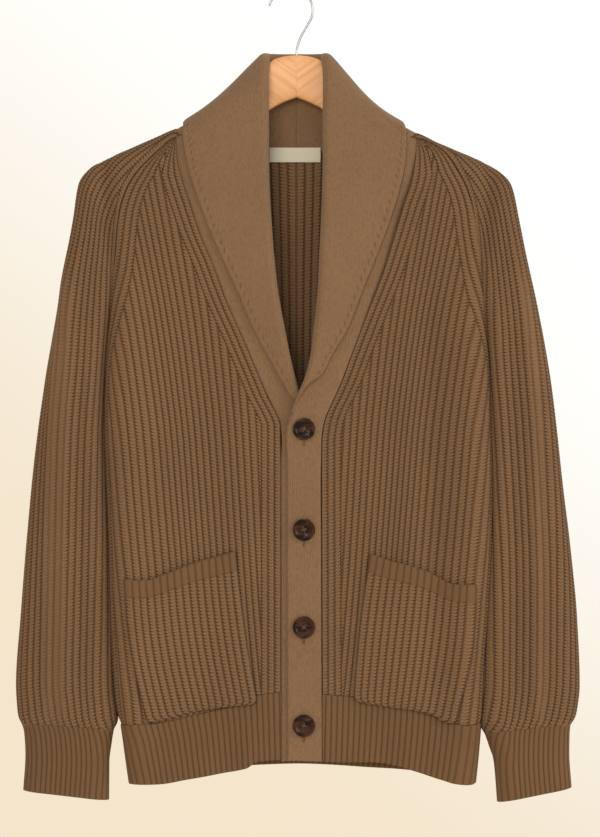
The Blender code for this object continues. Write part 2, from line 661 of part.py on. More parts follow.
def pockets():
    """Both patch pockets and the welts at their mouths."""
    for side, name in ((LEFT, "left"), (RIGHT, "right")):
        welt = pocket_rows(side, (0, WELT_SHARE - POCKET_SEAM), WELT_PITCH, WELT_RISE)
        cloth("pocket_welt_" + name, welt, CLOTH, "taupe_knit")
        patch = pocket_rows(side, (WELT_SHARE, 0.4, 0.7, 0.96, 1.0), RIB_PITCH, RIB_RISE)
        cloth("pocket_" + name, patch, CLOTH, "taupe_knit")


def button(number, drop):
    """A turned horn button with a raised rim round a dished middle."""
    seam_x, edge_x = curve_at(NECKLINE[LEFT], drop), curve_at(ROLL_LINE[LEFT], drop)
    share = (seam_x - BUTTON_X) / (seam_x - edge_x)
    face = band_depth(LEFT, drop, share) - BAND_CLOTH / 2 - drape(FRONT, BUTTON_X, drop)
    mesh = bmesh.new()
    points = [mesh.verts.new((wide * BUTTON_RADIUS * MM, 0, high * BUTTON_THICK * MM))
              for wide, high in BUTTON_PROFILE]
    for start, stop in zip(points, points[1:]):
        mesh.edges.new((start, stop))
    data = bpy.data.meshes.new(f"button_{number}")
    mesh.to_mesh(data)
    mesh.free()
    item = add_object(f"button_{number}", data, "dark_horn")
    item.location = Vector((BUTTON_X, face - BUTTON_STAND, -drop)) * MM
    item.rotation_euler = (math.pi / 2, 0, 0)
    screw = item.modifiers.new("turn", "SCREW")
    screw.steps = screw.render_steps = BUTTON_SIDES
    screw.use_merge_vertices = True
    screw.merge_threshold = 0.00002


def neck_label():
    """The bare woven label over the back neck seam."""
    bpy.ops.mesh.primitive_cube_add(size=1)
    item = bpy.context.object
    item.name = item.data.name = "neck_label"
    depth = curve_at(BODY_DEPTH, LABEL_DROP) - CLOTH - LABEL_OFF
    item.data.transform(Matrix.Diagonal((*(size * MM for size in LABEL_SIZE), 1)))
    item.location = Vector((LABEL_X, depth, -LABEL_DROP)) * MM
    adopt(item, "cream_label")


# ---------------------------------------------------------------- hanger

def shoulder_line(side, x):
    """Drop of the sleeve's top fold over the hanger."""
    rows = [(ring.fold_x, ring.fold_drop) for ring in SLEEVE[side][:6]]
    return curve_at(rows, x)


def arm_ring(side, x, top, height):
    """One rounded section of the wood."""
    return [Vector((side * x, across * ARM_HALF, -(top + share * height)))
            for across, share in ARM_SECTION]


def hanger_arm(side, name, bore):
    """One half of the hanger, from the mitre at the middle to its tip."""
    sections = list(ARM)
    sections += [(x, shoulder_line(side, x) + ARM_UNDER_CLOTH, height) for x, height in ARM_OUTER]
    rings = [arm_ring(side, *section) for section in sections]
    welder = Welder()
    for near, far in zip(rings, rings[1:]):
        for index in range(len(near)):
            after = (index + 1) % len(near)
            welder.face(near[index], near[after], far[after], far[index])
    welder.face(*rings[0])
    welder.face(*rings[-1])
    item = welder.finish(name, "beech")
    cut = item.modifiers.new("hook_bore", "BOOLEAN")
    cut.operation = "DIFFERENCE"
    cut.solver = "EXACT"
    cut.object = bore


def hook_bore():
    """The cutter for the hole that the hook is screwed into."""
    length = BORE_DEPTH + 10
    radius = WIRE_RADIUS + BORE_SLACK
    bpy.ops.mesh.primitive_cylinder_add(vertices=12, radius=radius * MM, depth=length * MM)
    cutter = bpy.context.object
    cutter.name = "hook_bore"
    cutter.location = Vector((0, 0, -(ARM[0][1] + BORE_DEPTH - length / 2))) * MM
    cutter.parent = stand
    cutter.hide_render = True
    cutter.display_type = "WIRE"
    move_to(cutter, cutters)
    return cutter


def hanger_hook():
    """The wire hook: a stem, a sweep to the right, and a loop over the rail."""
    centre = Vector((-HOOK_TO_MIDDLE, 0, -(LOOP_RADIUS - WIRE_RADIUS)))
    foot = ARM[0][1] + BORE_DEPTH - 2
    path = [Vector((x, 0, -drop)) for x, drop in ((0, foot), (0, ARM[0][1])) + HOOK_STEM]
    for index in range(HOOK_STEPS + 1):
        angle = math.radians(HOOK_START + (LOOP_END - HOOK_START) * index / HOOK_STEPS)
        path.append(centre + Vector((math.cos(angle), 0, math.sin(angle))) * LOOP_RADIUS)
    wire = bpy.data.curves.new("hanger_hook", "CURVE")
    wire.dimensions = "3D"
    wire.bevel_depth = WIRE_RADIUS * MM
    wire.bevel_resolution = 2
    wire.use_fill_caps = True
    spline = wire.splines.new("POLY")
    spline.points.add(len(path) - 1)
    for point, place in zip(spline.points, path):
        point.co = (*(place * MM), 1)
    add_object("hanger_hook", wire, "steel_wire")


# ---------------------------------------------------------------- objects

def material(name, colour, roughness, metallic=0.0):
    """A plain finish."""
    made = bpy.data.materials.new(name)
    made.use_nodes = True
    shader = made.node_tree.nodes["Principled BSDF"]
    shader.inputs["Base Color"].default_value = (*colour, 1)
    shader.inputs["Roughness"].default_value = roughness
    shader.inputs["Metallic"].default_value = metallic
    made.diffuse_color = (*colour, 1)
    return made


def move_to(item, collection):
    """Link an object to one collection only."""
    for holder in list(item.users_collection):
        holder.objects.unlink(item)
    collection.objects.link(item)


def adopt(item, finish):
    """Give an object its own copy of a finish and hang it on the stand."""
    item.data.materials.clear()
    colour, roughness, metallic = FINISHES[finish]
    item.data.materials.append(material(item.name + "_" + finish, colour, roughness, metallic))
    item.parent = stand
    move_to(item, parts)


def add_object(name, data, finish):
    """Make an object of a mesh or curve."""
    item = bpy.data.objects.new(name, data)
    bpy.context.scene.collection.objects.link(item)
    adopt(item, finish)
    return item


FINISHES = {
    "taupe_knit": (TAUPE, 0.95, 0.0),
    "taupe_band": (TAUPE_BAND, 0.92, 0.0),
    "dark_horn": (HORN, 0.22, 0.0),
    "beech": (BEECH, 0.42, 0.0),
    "steel_wire": (STEEL, 0.25, 1.0),
    "cream_label": (CREAM, 0.8, 0.0),
}

for leftover in list(bpy.data.objects):
    bpy.data.objects.remove(leftover, do_unlink=True)

parts = bpy.data.collections.new("shawl_collar_cardigan")
cutters = bpy.data.collections.new("cutters")
bpy.context.scene.collection.children.link(parts)
bpy.context.scene.collection.children.link(cutters)
stand = bpy.data.objects.new("garment_middle", None)
stand.location = (HOOK_TO_MIDDLE * MM, 0, 0)
parts.objects.link(stand)

front_panel(LEFT, "front_left")
front_panel(RIGHT, "front_right")
back_panel()
hems()
for wearer, word in ((LEFT, "left"), (RIGHT, "right")):
    sleeve(wearer, "sleeve_" + word)
    cuff(wearer, "cuff_" + word)
    collar(wearer, "collar_" + word)
placket(LEFT, "placket_over")
placket(RIGHT, "placket_under")
pockets()
for place, button_drop in enumerate(BUTTON_DROPS, start=1):
    button(place, button_drop)
neck_label()
bore_cutter = hook_bore()
hanger_arm(LEFT, "hanger_arm_left", bore_cutter)
hanger_arm(RIGHT, "hanger_arm_right", bore_cutter)
hanger_hook()
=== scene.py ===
"""Looks of a chunky ribbed cardigan with a shawl collar, hanging on its wooden hanger.

The front faces -Y and the wearer's left side is at +X. The tables are in millimetres, in the
garment's own frame: x outward from the middle, y away from the viewer, drop below the rail.
"""

import logging
import math
from dataclasses import dataclass, field
from enum import IntEnum
from typing import Callable, Sequence

import bmesh
import bpy
import numpy as np
from mathutils import Matrix, Vector


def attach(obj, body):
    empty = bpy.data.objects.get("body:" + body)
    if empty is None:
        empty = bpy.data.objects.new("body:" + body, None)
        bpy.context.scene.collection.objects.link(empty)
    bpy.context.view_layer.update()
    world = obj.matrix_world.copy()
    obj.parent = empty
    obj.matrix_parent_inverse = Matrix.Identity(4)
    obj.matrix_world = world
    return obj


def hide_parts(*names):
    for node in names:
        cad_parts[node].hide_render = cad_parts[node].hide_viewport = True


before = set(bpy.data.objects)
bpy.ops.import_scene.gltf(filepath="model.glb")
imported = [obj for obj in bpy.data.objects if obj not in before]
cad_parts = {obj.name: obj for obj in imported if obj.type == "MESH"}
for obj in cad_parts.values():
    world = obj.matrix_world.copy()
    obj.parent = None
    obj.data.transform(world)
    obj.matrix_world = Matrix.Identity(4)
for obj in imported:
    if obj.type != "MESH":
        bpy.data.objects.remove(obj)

log = logging.getLogger("cardigan")
MM = 0.001
WELD = 0.01                         # places nearer than this are one place
NOUGHT = 1e-9                       # coordinates below this, in metres, are rounding noise
HOOK_TO_MIDDLE = 5.9
BODY = "root"
Array = np.ndarray


class Side(IntEnum):
    """The wearer's side, as the sign of X."""

    LEFT = 1
    RIGHT = -1

    @property
    def word(self) -> str:
        """The side's name in the names of pieces."""
        return self.name.lower()


class Face(IntEnum):
    """Front or back, as the sign of Y."""

    FRONT = -1
    BACK = 1


# ---------------------------------------------------------------- the garment's form

def hermite(near: Array, far: Array, leave: Array, arrive: Array, t: Array) -> Array:
    """Cubic from near to far at shares t, with its slopes over the whole span at both ends."""
    return (near * (2 * t**3 - 3 * t**2 + 1) + leave * (t**3 - 2 * t**2 + t)
            + far * (3 * t**2 - 2 * t**3) + arrive * (t**3 - t**2))


@dataclass(frozen=True)
class Curve:
    """A smooth curve through (key, value) rows, held past both ends."""

    rows: tuple

    def __call__(self, key: Array | float) -> Array:
        """Value at each key.

        Args:
            key: one key or an array of them.

        Returns:
            The values, in the keys' shape.
        """
        keys, values = np.array(self.rows, float).T
        key = np.clip(np.asarray(key, float), keys[0], keys[-1])
        index = np.clip(np.searchsorted(keys, key, side="right") - 1, 0, len(keys) - 2)
        steps = np.diff(values) / np.diff(keys)
        before, after = np.append(steps[:1], steps), np.append(steps, steps[-1:])
        rising = before * after > 0
        slopes = np.where(rising, 2 * before * after / np.where(rising, before + after, 1), 0)
        span = keys[index + 1] - keys[index]
        return hermite(values[index], values[index + 1], slopes[index] * span, slopes[index + 1] * span,
                       (key - keys[index]) / span)


def smooth_step(value: Array | float) -> Array:
    """Ease from 0 to 1."""
    value = np.clip(value, 0.0, 1.0)
    return value * value * (3 - 2 * value)


def bell(off: Array, width: float) -> Array:
    """Soft bump of height one, off its middle."""
    return np.exp(-(off / width) ** 2)


def unit(vectors: Array) -> Array:
    """Vectors along the last axis, at length one."""
    return vectors / np.maximum(np.linalg.norm(vectors, axis=-1, keepdims=True), 1e-9)


@dataclass(frozen=True)
class Fold:
    """A long soft fold: x outward and drop at both ends, half width, swell outward."""

    face: Face
    side: Side
    x_top: float
    top: float
    x_low: float
    low: float
    width: float
    swell: float


@dataclass(frozen=True)
class Crease:
    """A narrow crest along a sleeve, where the rib is pulled flat."""

    face: Face
    side: Side
    path: Curve
    top: float
    low: float
    width: float
    swell: float

    def fade(self, drop: Array, reach: float, end: float = 40.0) -> Array:
        """How much of the crease is there."""
        return smooth_step((drop - self.top) / reach) * smooth_step((self.low - drop) / end)


@dataclass(frozen=True)
class Ring:
    """A sleeve's section: the seam's drop, the outer fold's place, the distance from the body."""

    seam_drop: float
    fold_x: float
    fold_drop: float
    clear: float


@dataclass(frozen=True)
class Band:
    """A cuff's section, from its inner to its outer edge."""

    inner_x: float
    inner_drop: float
    outer_x: float
    outer_drop: float


@dataclass(frozen=True)
class Nape:
    """A section of the collar round the neck: its seam, roll and free edge (x, y, drop), and its sag."""

    seam: tuple
    roll: tuple
    fall: tuple
    sag: float


@dataclass(frozen=True)
class Pocket:
    """A patch pocket: drops along its mouth and base, their ends' x, and the bows of its sides."""

    mouth: Curve
    mouth_ends: tuple
    base: Curve
    base_ends: tuple
    bow_in: float
    bow_out: float


L, R = Side.LEFT, Side.RIGHT
FRONT, BACK = Face.FRONT, Face.BACK


@dataclass(frozen=True)
class Form:
    """The shape in which the whole garment hangs."""

    cloth: float = 2.4
    band_cloth: float = 2.8
    side_corner: float = 22.0
    fold_corner: float = 18.0
    corner_share: float = 0.45
    underarm: float = 422.0
    turn_start: float = 205.0
    hem_height: float = 72.0
    hem_loss: float = 10.0
    hem_reach: float = 185.0
    hem_low: float = 835.0
    neck_edge: Curve = Curve(((0, 171.5), (50, 169.5), (90, 165), (106, 159), (113, 155), (118, 153),
                             (130, 152)))
    fold_fade: float = 70.0
    rib_level: float = 100.0
    body_depth: Curve = Curve(((69, 14), (140, 15), (200, 19), (280, 23), (420, 25), (580, 24), (740, 21),
                               (835, 19)))
    sleeve_depth: Curve = Curve(((140, 15), (200, 19), (280, 23), (420, 25), (580, 22), (700, 18), (775, 15),
                                 (855, 14)))
    reach: dict = field(default_factory=lambda: {
        L: Curve(((140, 118), (150, 125.4), (156, 127.6), (158, 129.5), (163, 141), (174, 156),
                 (189, 166.3),
                  (212, 178), (235, 184.2), (260, 187.3), (298, 192), (346, 196.8), (401, 202),
                  (459, 204), (520, 205), (580, 204), (643, 200.5),
                  (701, 195), (747, 192), (775, 190), (808, 187), (835, 184))),
        R: Curve(((140, 118), (149, 124.8), (153, 127), (157, 130), (174, 147.6), (193, 166.5), (212, 178),
                  (237, 185.4), (260, 188), (296, 191), (346, 196), (401, 201), (459, 202.5),
                  (520, 200.5), (580, 198), (643, 196.5), (701, 193),
                  (747, 189), (775, 183), (808, 178), (835, 174)))})
    neckline: dict = field(default_factory=lambda: {
        L: Curve(((150, 126.8), (165, 125.2), (178, 124.2), (203, 120.2), (229, 111.7), (264, 101.2),
                  (298, 90.7), (345, 72.5), (391, 55), (411, 47.7), (430, 39.3), (448, 30.9),
                  (462, 27.2), (480, 25.5),
                  (835, 26.5))),
        R: Curve(((150, 126.4), (161, 126), (178, 125), (203, 119.2), (229, 110.9), (260, 100.4),
                 (290, 87.8),
                  (327, 74.1), (370, 55.2), (410, 38.4), (430, 30), (447, 21), (460, 16.4), (835, 16.2)))})
    roll_line: dict = field(default_factory=lambda: {
        L: Curve(((69, 27.2), (198, 27.2), (239, 25.6), (279, 23.5), (330, 21), (363, 16.9), (398, 12),
                  (418, 4.6), (440, -4), (462, -10), (835, -9.5))),
        R: Curve(((69, 29), (198, 28.5), (239, 26.3), (291, 22.3), (330, 17.4), (363, 11.1), (394, 4.8),
                  (422, -2.5), (442, -9), (470, -19.4), (835, -19.4)))})
    fall_edge: dict = field(default_factory=lambda: {
        L: Curve(((140, 115), (163, 114.9), (187, 113.3), (211, 108), (234, 101.2), (258, 92.8),
                 (285, 82.3),
                  (316, 69.7), (359, 52.9), (385, 37.2), (405, 26.7), (412, 19.3), (421, 8))),
        R: Curve(((140, 120), (153.5, 119.3), (161, 118.5), (168, 117.4), (179, 115.6), (205, 108.8),
                 (229, 100.4), (251, 91.9), (277, 81.4),
                  (303, 68.9), (324, 59.4), (352, 47.9), (376, 35.3), (405, 19.5), (431, 3.8)))})
    seam_set: dict = field(default_factory=lambda: {
        L: Curve(((330, 1.4), (430, -0.8))), R: Curve(((330, 1.4), (430, 2.5)))})
    roll_set: dict = field(default_factory=lambda: {
        L: Curve(((200, 0.4), (330, 0.0), (400, -3.4), (422, -5.2), (446, -5.2), (490, -0.8))),
        R: Curve(((200, 0.4), (330, 1.4), (400, 2.5)))})
    hem_edge: dict = field(default_factory=lambda: {
        FRONT: Curve(((-174, 835), (-146, 834.8), (-113, 829.8), (-80, 824), (-53, 818.3), (-41, 811.5),
                     (0, 809), (45, 812),
                      (78, 812), (104, 815), (122, 820), (150, 829), (175, 835), (186, 833))),
        BACK: Curve(((-176, 834), (-90, 822), (0, 818), (90, 822), (186, 832)))})
    folds: tuple = (
        Fold(FRONT, R, 243, 250, 247, 790, 13, 6.6),
        Fold(FRONT, L, 258, 250, 268, 790, 18, 4.2),
        Fold(FRONT, R, 205, 140, 192, 330, 9, -7.5),
        Fold(FRONT, L, 205, 140, 192, 330, 9, -6.5),
        Fold(FRONT, R, 264, 380, 276, 780, 10, -3.0),
        Fold(FRONT, L, 222, 330, 228, 780, 10, -4.5),
        Fold(FRONT, R, 228, 360, 226, 780, 7, -1.6),
        Fold(FRONT, L, 186, 170, 186, 850, 74, 10.5),
        Fold(FRONT, R, 190, 190, 188, 850, 52, 5.0),
        Fold(FRONT, L, 180, 270, 182, 850, 15, 3.4),
        Fold(FRONT, L, 138, 290, 146, 790, 16, -7.6),
        Fold(FRONT, R, 170, 270, 172, 850, 17, 4.4),
        Fold(FRONT, R, 106, 300, 92, 790, 24, -3.4),
        Fold(FRONT, R, 58, 400, 52, 660, 15, 1.8),
        Fold(FRONT, L, 78, 430, 74, 660, 18, 1.8),
        Fold(FRONT, R, 52, 745, 48, 850, 10, 3.2),
        Fold(FRONT, R, 76, 745, 78, 850, 12, -2.2),
        Fold(FRONT, L, 118, 750, 116, 850, 12, 2.6),
        Fold(FRONT, L, 90, 750, 88, 850, 12, -2.0),
        Fold(BACK, R, 70, 320, 82, 840, 24, -3.2),
        Fold(BACK, L, 86, 380, 74, 840, 26, -3.4),
        Fold(BACK, L, 10, 450, 4, 840, 22, 2.4),
        Fold(BACK, R, 158, 300, 164, 850, 18, 3.6),
        Fold(BACK, L, 166, 310, 170, 850, 19, 3.8),
        Fold(BACK, R, 246, 280, 250, 785, 17, 3.8),
        Fold(BACK, L, 252, 300, 262, 785, 18, 3.4),
        Fold(BACK, R, 226, 420, 230, 770, 8, -2.2),
    )
    creases: tuple = (
        Crease(FRONT, L, Curve(((285, 228), (301, 231), (418, 244), (485, 247), (664, 251), (765, 250.5))),
               265, 790, 5.5, 1.7),
        Crease(FRONT, R, Curve(((300, 236.5), (464, 239), (600, 243), (768, 243))), 275, 790, 5.0, 2.6),
        Crease(FRONT, R, Curve(((300, 247), (464, 250), (600, 254), (768, 254))), 275, 790, 5.0, -1.8),
        Crease(BACK, L, Curve(((300, 236), (500, 252), (765, 256))), 310, 780, 5.5, 1.2),
        Crease(BACK, R, Curve(((300, 240), (500, 247), (765, 250))), 300, 780, 5.0, 1.3),
    )
    rib_lines: dict = field(default_factory=lambda: {
        L: Curve(((-4, -27), (0, 0), (4, 27), (8, 56.5), (12, 85), (14, 98), (16, 109.8), (18, 121.4),
                  (20, 134.4), (22, 150.4), (24, 166.8), (26, 182.6), (29, 204.6), (45, 319))),
        R: Curve(((-4, -27), (0, 0), (4, 27.5), (8, 57), (12, 86), (15, 107), (17, 119.6), (19, 131.8),
                  (21, 145), (23, 160.6), (25, 176.2), (27, 191.4), (30, 213), (45, 320)))})
    rib_shift: Curve = Curve(((160, -56), (254, -36), (296, -27), (338, -18.5), (380, -11.5), (422, -5.4),
                              (464, 0), (548, 7.4), (590, 11.2), (632, 15.4), (674, 20), (716, 25),
                              (758, 30.5), (835, 40)))
    rib_hold: dict = field(default_factory=lambda: {
        FRONT: Curve(((0, 0.12), (16, 0.3), (95, 0.86), (160, 1.0), (330, 1.0))),
        BACK: Curve(((0, 0.0), (16, 0.12), (95, 0.43), (160, 0.5), (330, 0.5)))})

    def ribs(self, side: Side, face: Face, count: Array, drop: Array) -> Array:
        """Flat distances from the middle at which the panels' ribs run.

        Args:
            side: the wearer's side.
            face: front or back.
            count: numbers of ribs from the middle.
            drop: drop of each row, shaped (rows, 1).

        Returns:
            A row of distances for each drop.
        """
        place = self.rib_lines[side](count)
        return place - self.rib_shift(drop) * self.rib_hold[face](place)

    def ease(self, face: Face, x: Array, drop: Array) -> Array:
        """How flat the rib is pulled by the creases."""
        total = np.zeros(np.broadcast(x, drop).shape)
        for crease in self.creases:
            if crease.face == face:
                centre = crease.side * (crease.path(drop) + crease.width)
                total += crease.fade(drop, self.fold_fade) * bell(x - centre, crease.width)
        return total

    def drape(self, face: Face, x: Array, drop: Array) -> Array:
        """How far the folds move the cloth outward.

        Args:
            face: front or back.
            x: signed x of each place.
            drop: drop of each place.

        Returns:
            The shift of each place along its normal.
        """
        total = np.zeros(np.broadcast(x, drop).shape)
        for fold in self.folds:
            if fold.face != face:
                continue
            share = (drop - fold.top) / (fold.low - fold.top)
            centre = fold.side * (fold.x_top + (fold.x_low - fold.x_top) * share)
            fade = smooth_step((drop - fold.top) / self.fold_fade)
            if fold.low < self.hem_low:
                fade = fade * smooth_step((fold.low - drop) / self.fold_fade)
            total += fold.swell * fade * bell(x - centre, fold.width)
        for crease in self.creases:
            if crease.face == face:
                centre = crease.side * crease.path(drop)
                total += crease.swell * crease.fade(drop, self.fold_fade) * bell(x - centre, crease.width)
        return total

    def side_turn(self, drop: Array) -> Array:
        """Angle that the body's edge has turned from the front towards the side."""
        return smooth_step((drop - self.turn_start) / (self.underarm - self.turn_start)) * math.pi / 2

    @staticmethod
    def corner_rate(across: Array | float, deep: Array | float) -> Array:
        """Length of an elliptic corner for each radian."""
        return np.sqrt((np.square(across) + np.square(deep)) / 2)

    def body_width(self, side: Side, drop: Array) -> Array:
        """Flat distance from the middle to the body's edge."""
        turn = self.side_turn(drop)
        rate = self.corner_rate(self.side_corner, self.body_depth(drop))
        return self.reach[side](drop) - self.side_corner * np.sin(turn) + rate * turn

    def body(self, side: Side, face: Face, along: Array, drop: Array) -> tuple[Array, Array]:
        """Places on the body's face.

        Args:
            side: the wearer's side.
            face: front or back.
            along: flat distances from the middle.
            drop: drops below the rail.

        Returns:
            Points and outward normals.
        """
        deep, turn = self.body_depth(drop), self.side_turn(drop)
        flat = self.reach[side](drop) - self.side_corner * np.sin(turn)
        angle = np.clip((along - flat) / self.corner_rate(self.side_corner, deep), 0.0, turn)
        x = np.where(along <= flat, along, flat + self.side_corner * np.sin(angle))
        normal = unit(np.stack([side * deep * np.sin(angle), face * self.side_corner * np.cos(angle),
                                np.zeros_like(x)], axis=-1))
        point = np.stack([side * x, face * deep * np.cos(angle), -drop], axis=-1)
        lift = self.drape(face, side * x, drop) * np.abs(normal[..., 1])
        return point + normal * lift[..., None], normal

    def tube_section(self, inner: Array, outer: Array) -> tuple[Array, Array, Array]:
        """A tube's chord, its corner's width and the corner's length for each radian."""
        chord = np.linalg.norm(inner - outer, axis=-1)
        corner = np.minimum(self.fold_corner, self.corner_share * chord)
        return chord, corner, self.corner_rate(corner, self.sleeve_depth(-(inner + outer)[..., 1] / 2))

    def tube_half(self, inner: Array, outer: Array, turn: Array) -> Array:
        """Flat distance from a tube's outer fold to where its section ends."""
        chord, corner, rate = self.tube_section(inner, outer)
        return rate * math.pi / 2 + chord - corner - corner * np.sin(turn) + rate * turn

    def tube(self, inner: Array, outer: Array, turn: Array, along: Array) -> tuple[Array, Array]:
        """Places on a flattened tube, such as a sleeve.

        Args:
            inner: (x, -drop) of each row's inner edge, shaped (rows, 1, 2).
            outer: the same at its outer fold.
            turn: how far each row closes at its inner side.
            along: flat distances from the outer fold, positive at the front.

        Returns:
            Points and outward normals.
        """
        face = np.where(along >= 0, FRONT, BACK)
        chord, corner, rate = self.tube_section(inner, outer)
        across = (inner - outer) / chord[..., None]
        outer_arc = rate * math.pi / 2
        straight = chord - corner - corner * np.sin(turn)
        distance = np.abs(along)
        beyond = np.clip((distance - outer_arc - straight) / rate, 0, turn)
        before = np.minimum(distance / rate - math.pi / 2, 0)
        angle = before + beyond
        shift = corner * (1 + np.sin(before) + np.sin(beyond)) + np.clip(distance - outer_arc, 0, straight)
        spot = outer + across * shift[..., None]
        deep = self.sleeve_depth(-spot[..., 1])
        slant = np.sin(angle) * deep
        normal = unit(np.stack([across[..., 0] * slant, face * corner * np.cos(angle),
                                across[..., 1] * slant], axis=-1))
        point = np.stack([spot[..., 0], face * deep * np.cos(angle), spot[..., 1]], axis=-1)
        lift = np.where(face == FRONT, self.drape(FRONT, spot[..., 0], -spot[..., 1]),
                        self.drape(BACK, spot[..., 0], -spot[..., 1]))
        return point + normal * (lift * np.abs(normal[..., 1]))[..., None], normal

    def hem_join(self, face: Face, x: Array) -> Array:
        """Drop where the hem's rib is joined on."""
        return self.hem_edge[face](x) - self.hem_height + self.hem_loss * np.abs(x) / self.hem_reach

    def back_neck(self, x: Array) -> Array:
        """Drop of the back's neck edge."""
        return self.neck_edge(np.abs(x))

    def band_depth(self, side: Side, drop: Array, share: Array | float) -> Array:
        """Depth of the band's middle surface, from its seam (share 0) to its roll (share 1)."""
        setting = self.seam_set[side](drop) * (1 - share) + self.roll_set[side](drop) * share
        return setting - self.body_depth(drop)


FORM = Form()


# ---------------------------------------------------------------- cloth

@dataclass(frozen=True)
class Stitch:
    """A rib's relief over the cloth's face, from the groove to the crown, and its stitches."""

    pitch: float
    course: float
    groove: float
    crown: float
    dip: float
    beads: float
    slant: float

    def lift(self, phase: Array, course: Array) -> Array:
        """Height over the face.

        Args:
            phase: ribs counted across, with a groove at each whole number.
            course: stitches counted along the rib.

        Returns:
            Height of each place.
        """
        off = np.abs(phase - np.floor(phase) - 0.5)
        wall = smooth_step((0.5 - off) * 4)
        crown = self.groove + (self.crown - self.groove) * wall - self.dip * smooth_step(1 - off * 4)
        return crown + self.beads * wall * np.cos(2 * math.pi * (course + self.slant * off))


def sunk(lift: Array, room: Array, reach: float = 9.0, sink: float = 0.6) -> Array:
    """A relief that flattens and sinks where less than the reach is left to an edge."""
    share = smooth_step(room / reach)
    return lift * share - sink * (1 - share)


HALF_CARDIGAN = Stitch(pitch=7.0, course=3.5, groove=-0.2, crown=0.85, dip=0.15, beads=0.42, slant=1.6)
BROAD_RIB = Stitch(pitch=7.0, course=2.8, groove=-0.1, crown=0.6, dip=0.0, beads=0.05, slant=1.2)
HEM_RIB = Stitch(pitch=6.1, course=2.8, groove=-0.1, crown=0.6, dip=0.0, beads=0.05, slant=1.2)
PLAIN_RIB = Stitch(pitch=5.2, course=2.8, groove=-0.1, crown=0.5, dip=0.0, beads=0.05, slant=1.2)
SAMPLES = 4                         # columns for each rib
SPARE = 8 * SAMPLES                 # columns tried past each edge
ROWS = 2                            # rows for each stitch
STRIP = 1000.0                      # added to the pattern's coordinate in a collar's edge strip
INNER_RELIEF = 0.35                 # share of the relief that shows inside
CREASE_FLAT = 0.6                   # share of the relief that a crease takes away


@dataclass
class Sheet:
    """Rows and columns of places on a piece of cloth, with its pattern's coordinates."""

    point: Array
    normal: Array
    lift: Array
    near_u: Array
    far_u: Array
    course: Array
    ease: Array | None = None

    @staticmethod
    def joined(first: "Sheet", second: "Sheet") -> "Sheet":
        """One sheet of two halves whose first columns are the same line."""
        def both(name: str) -> Array:
            return np.concatenate([getattr(first, name)[:, ::-1], getattr(second, name)[:, 1:]], axis=1)
        return Sheet(both("point"), both("normal"), both("lift"),
                     np.concatenate([first.far_u[:, ::-1], second.near_u], axis=1),
                     np.concatenate([first.near_u[:, ::-1], second.far_u], axis=1), both("course"))


@dataclass(frozen=True)
class RibPlan:
    """How ribs are laid between two edges: a few beside each edge, the rest on fixed lines."""

    stitch: Stitch
    near_ribs: int
    far_ribs: int

    @staticmethod
    def numbers(along: Array, place: Array, lines: Array) -> Array:
        """Rib numbers at the middle columns, read between the laid lines where an edge cuts them."""
        return np.stack([np.interp(row, laid, lines[0] / SAMPLES) for row, laid in zip(along, place)])

    def columns(self, low: Array, high: Array,
                lay: Callable[[Array], Array]) -> tuple[Array, Array, Array, Array, Array]:
        """Columns of every row.

        Args:
            low: flat distance of each row's near edge.
            high: the same of its far edge.
            lay: gives the distances at which numbered ribs run.

        Returns:
            Flat distances, rib phases, height scales, and the pattern's coordinate at both ends
            of the faces between columns.
        """
        quarter = self.stitch.pitch / SAMPLES
        near, far = SAMPLES * self.near_ribs, SAMPLES * self.far_ribs
        step = np.minimum(quarter, (high - low) / (near + far + SAMPLES))[:, None]
        low, high = low[:, None], high[:, None]
        first, last = low + near * step, high - far * step
        lines = np.arange(math.ceil(low.min() / quarter) - SPARE,
                          math.floor(high.max() / quarter) + SPARE + 1)[None]
        place = lay(lines / SAMPLES)
        inside = (first < place) & (place < last)
        used = inside.any(axis=0)
        wide = np.convolve(used, np.ones(3), mode="same") > 0
        all_lines, all_place = lines[:, wide], place[:, wide]
        lines, place, inside = lines[:, used], place[:, used], inside[:, used]
        near_count, far_count = np.arange(near + 1)[None], np.arange(far, -1, -1)[None]
        rows = np.ones_like(low)
        along = np.concatenate([low + near_count * step, np.clip(place, first, last),
                                high - far_count * step], axis=1)
        phase = np.concatenate([near_count / SAMPLES * rows, np.where(inside, lines / SAMPLES, 0.0),
                                far_count / SAMPLES * rows], axis=1)
        squeezed = step / quarter
        scale = np.concatenate([np.repeat(squeezed, near + 1, axis=1), np.ones(inside.shape),
                                np.repeat(squeezed, far + 1, axis=1)], axis=1)
        middle = self.numbers(along[:, near:along.shape[1] - far], all_place, all_lines)
        near_u, far_u = near_count / SAMPLES * rows, far_count / SAMPLES * rows
        return (along, phase, scale,
                np.concatenate([near_u[:, :-1], middle[:, :-1], far_u[:, :-1]], axis=1),
                np.concatenate([near_u[:, 1:], middle[:, 1:], far_u[:, 1:]], axis=1))


def link(name: str, data: bpy.types.ID) -> bpy.types.Object:
    """A new object in the scene."""
    item = bpy.data.objects.new(name, data)
    bpy.context.scene.collection.objects.link(item)
    return item


def mend(data: bpy.types.Mesh, weld: bool = False, turn: bool = False) -> None:
    """Weld places that coincide and turn faces outward, where asked."""
    shell = bmesh.new()
    shell.from_mesh(data)
    if weld:
        bmesh.ops.remove_doubles(shell, verts=shell.verts, dist=WELD * MM)
        bmesh.ops.dissolve_degenerate(shell, dist=WELD * MM, edges=shell.edges)
    if turn:
        bmesh.ops.recalc_face_normals(shell, faces=shell.faces)
    shell.to_mesh(data)
    shell.free()


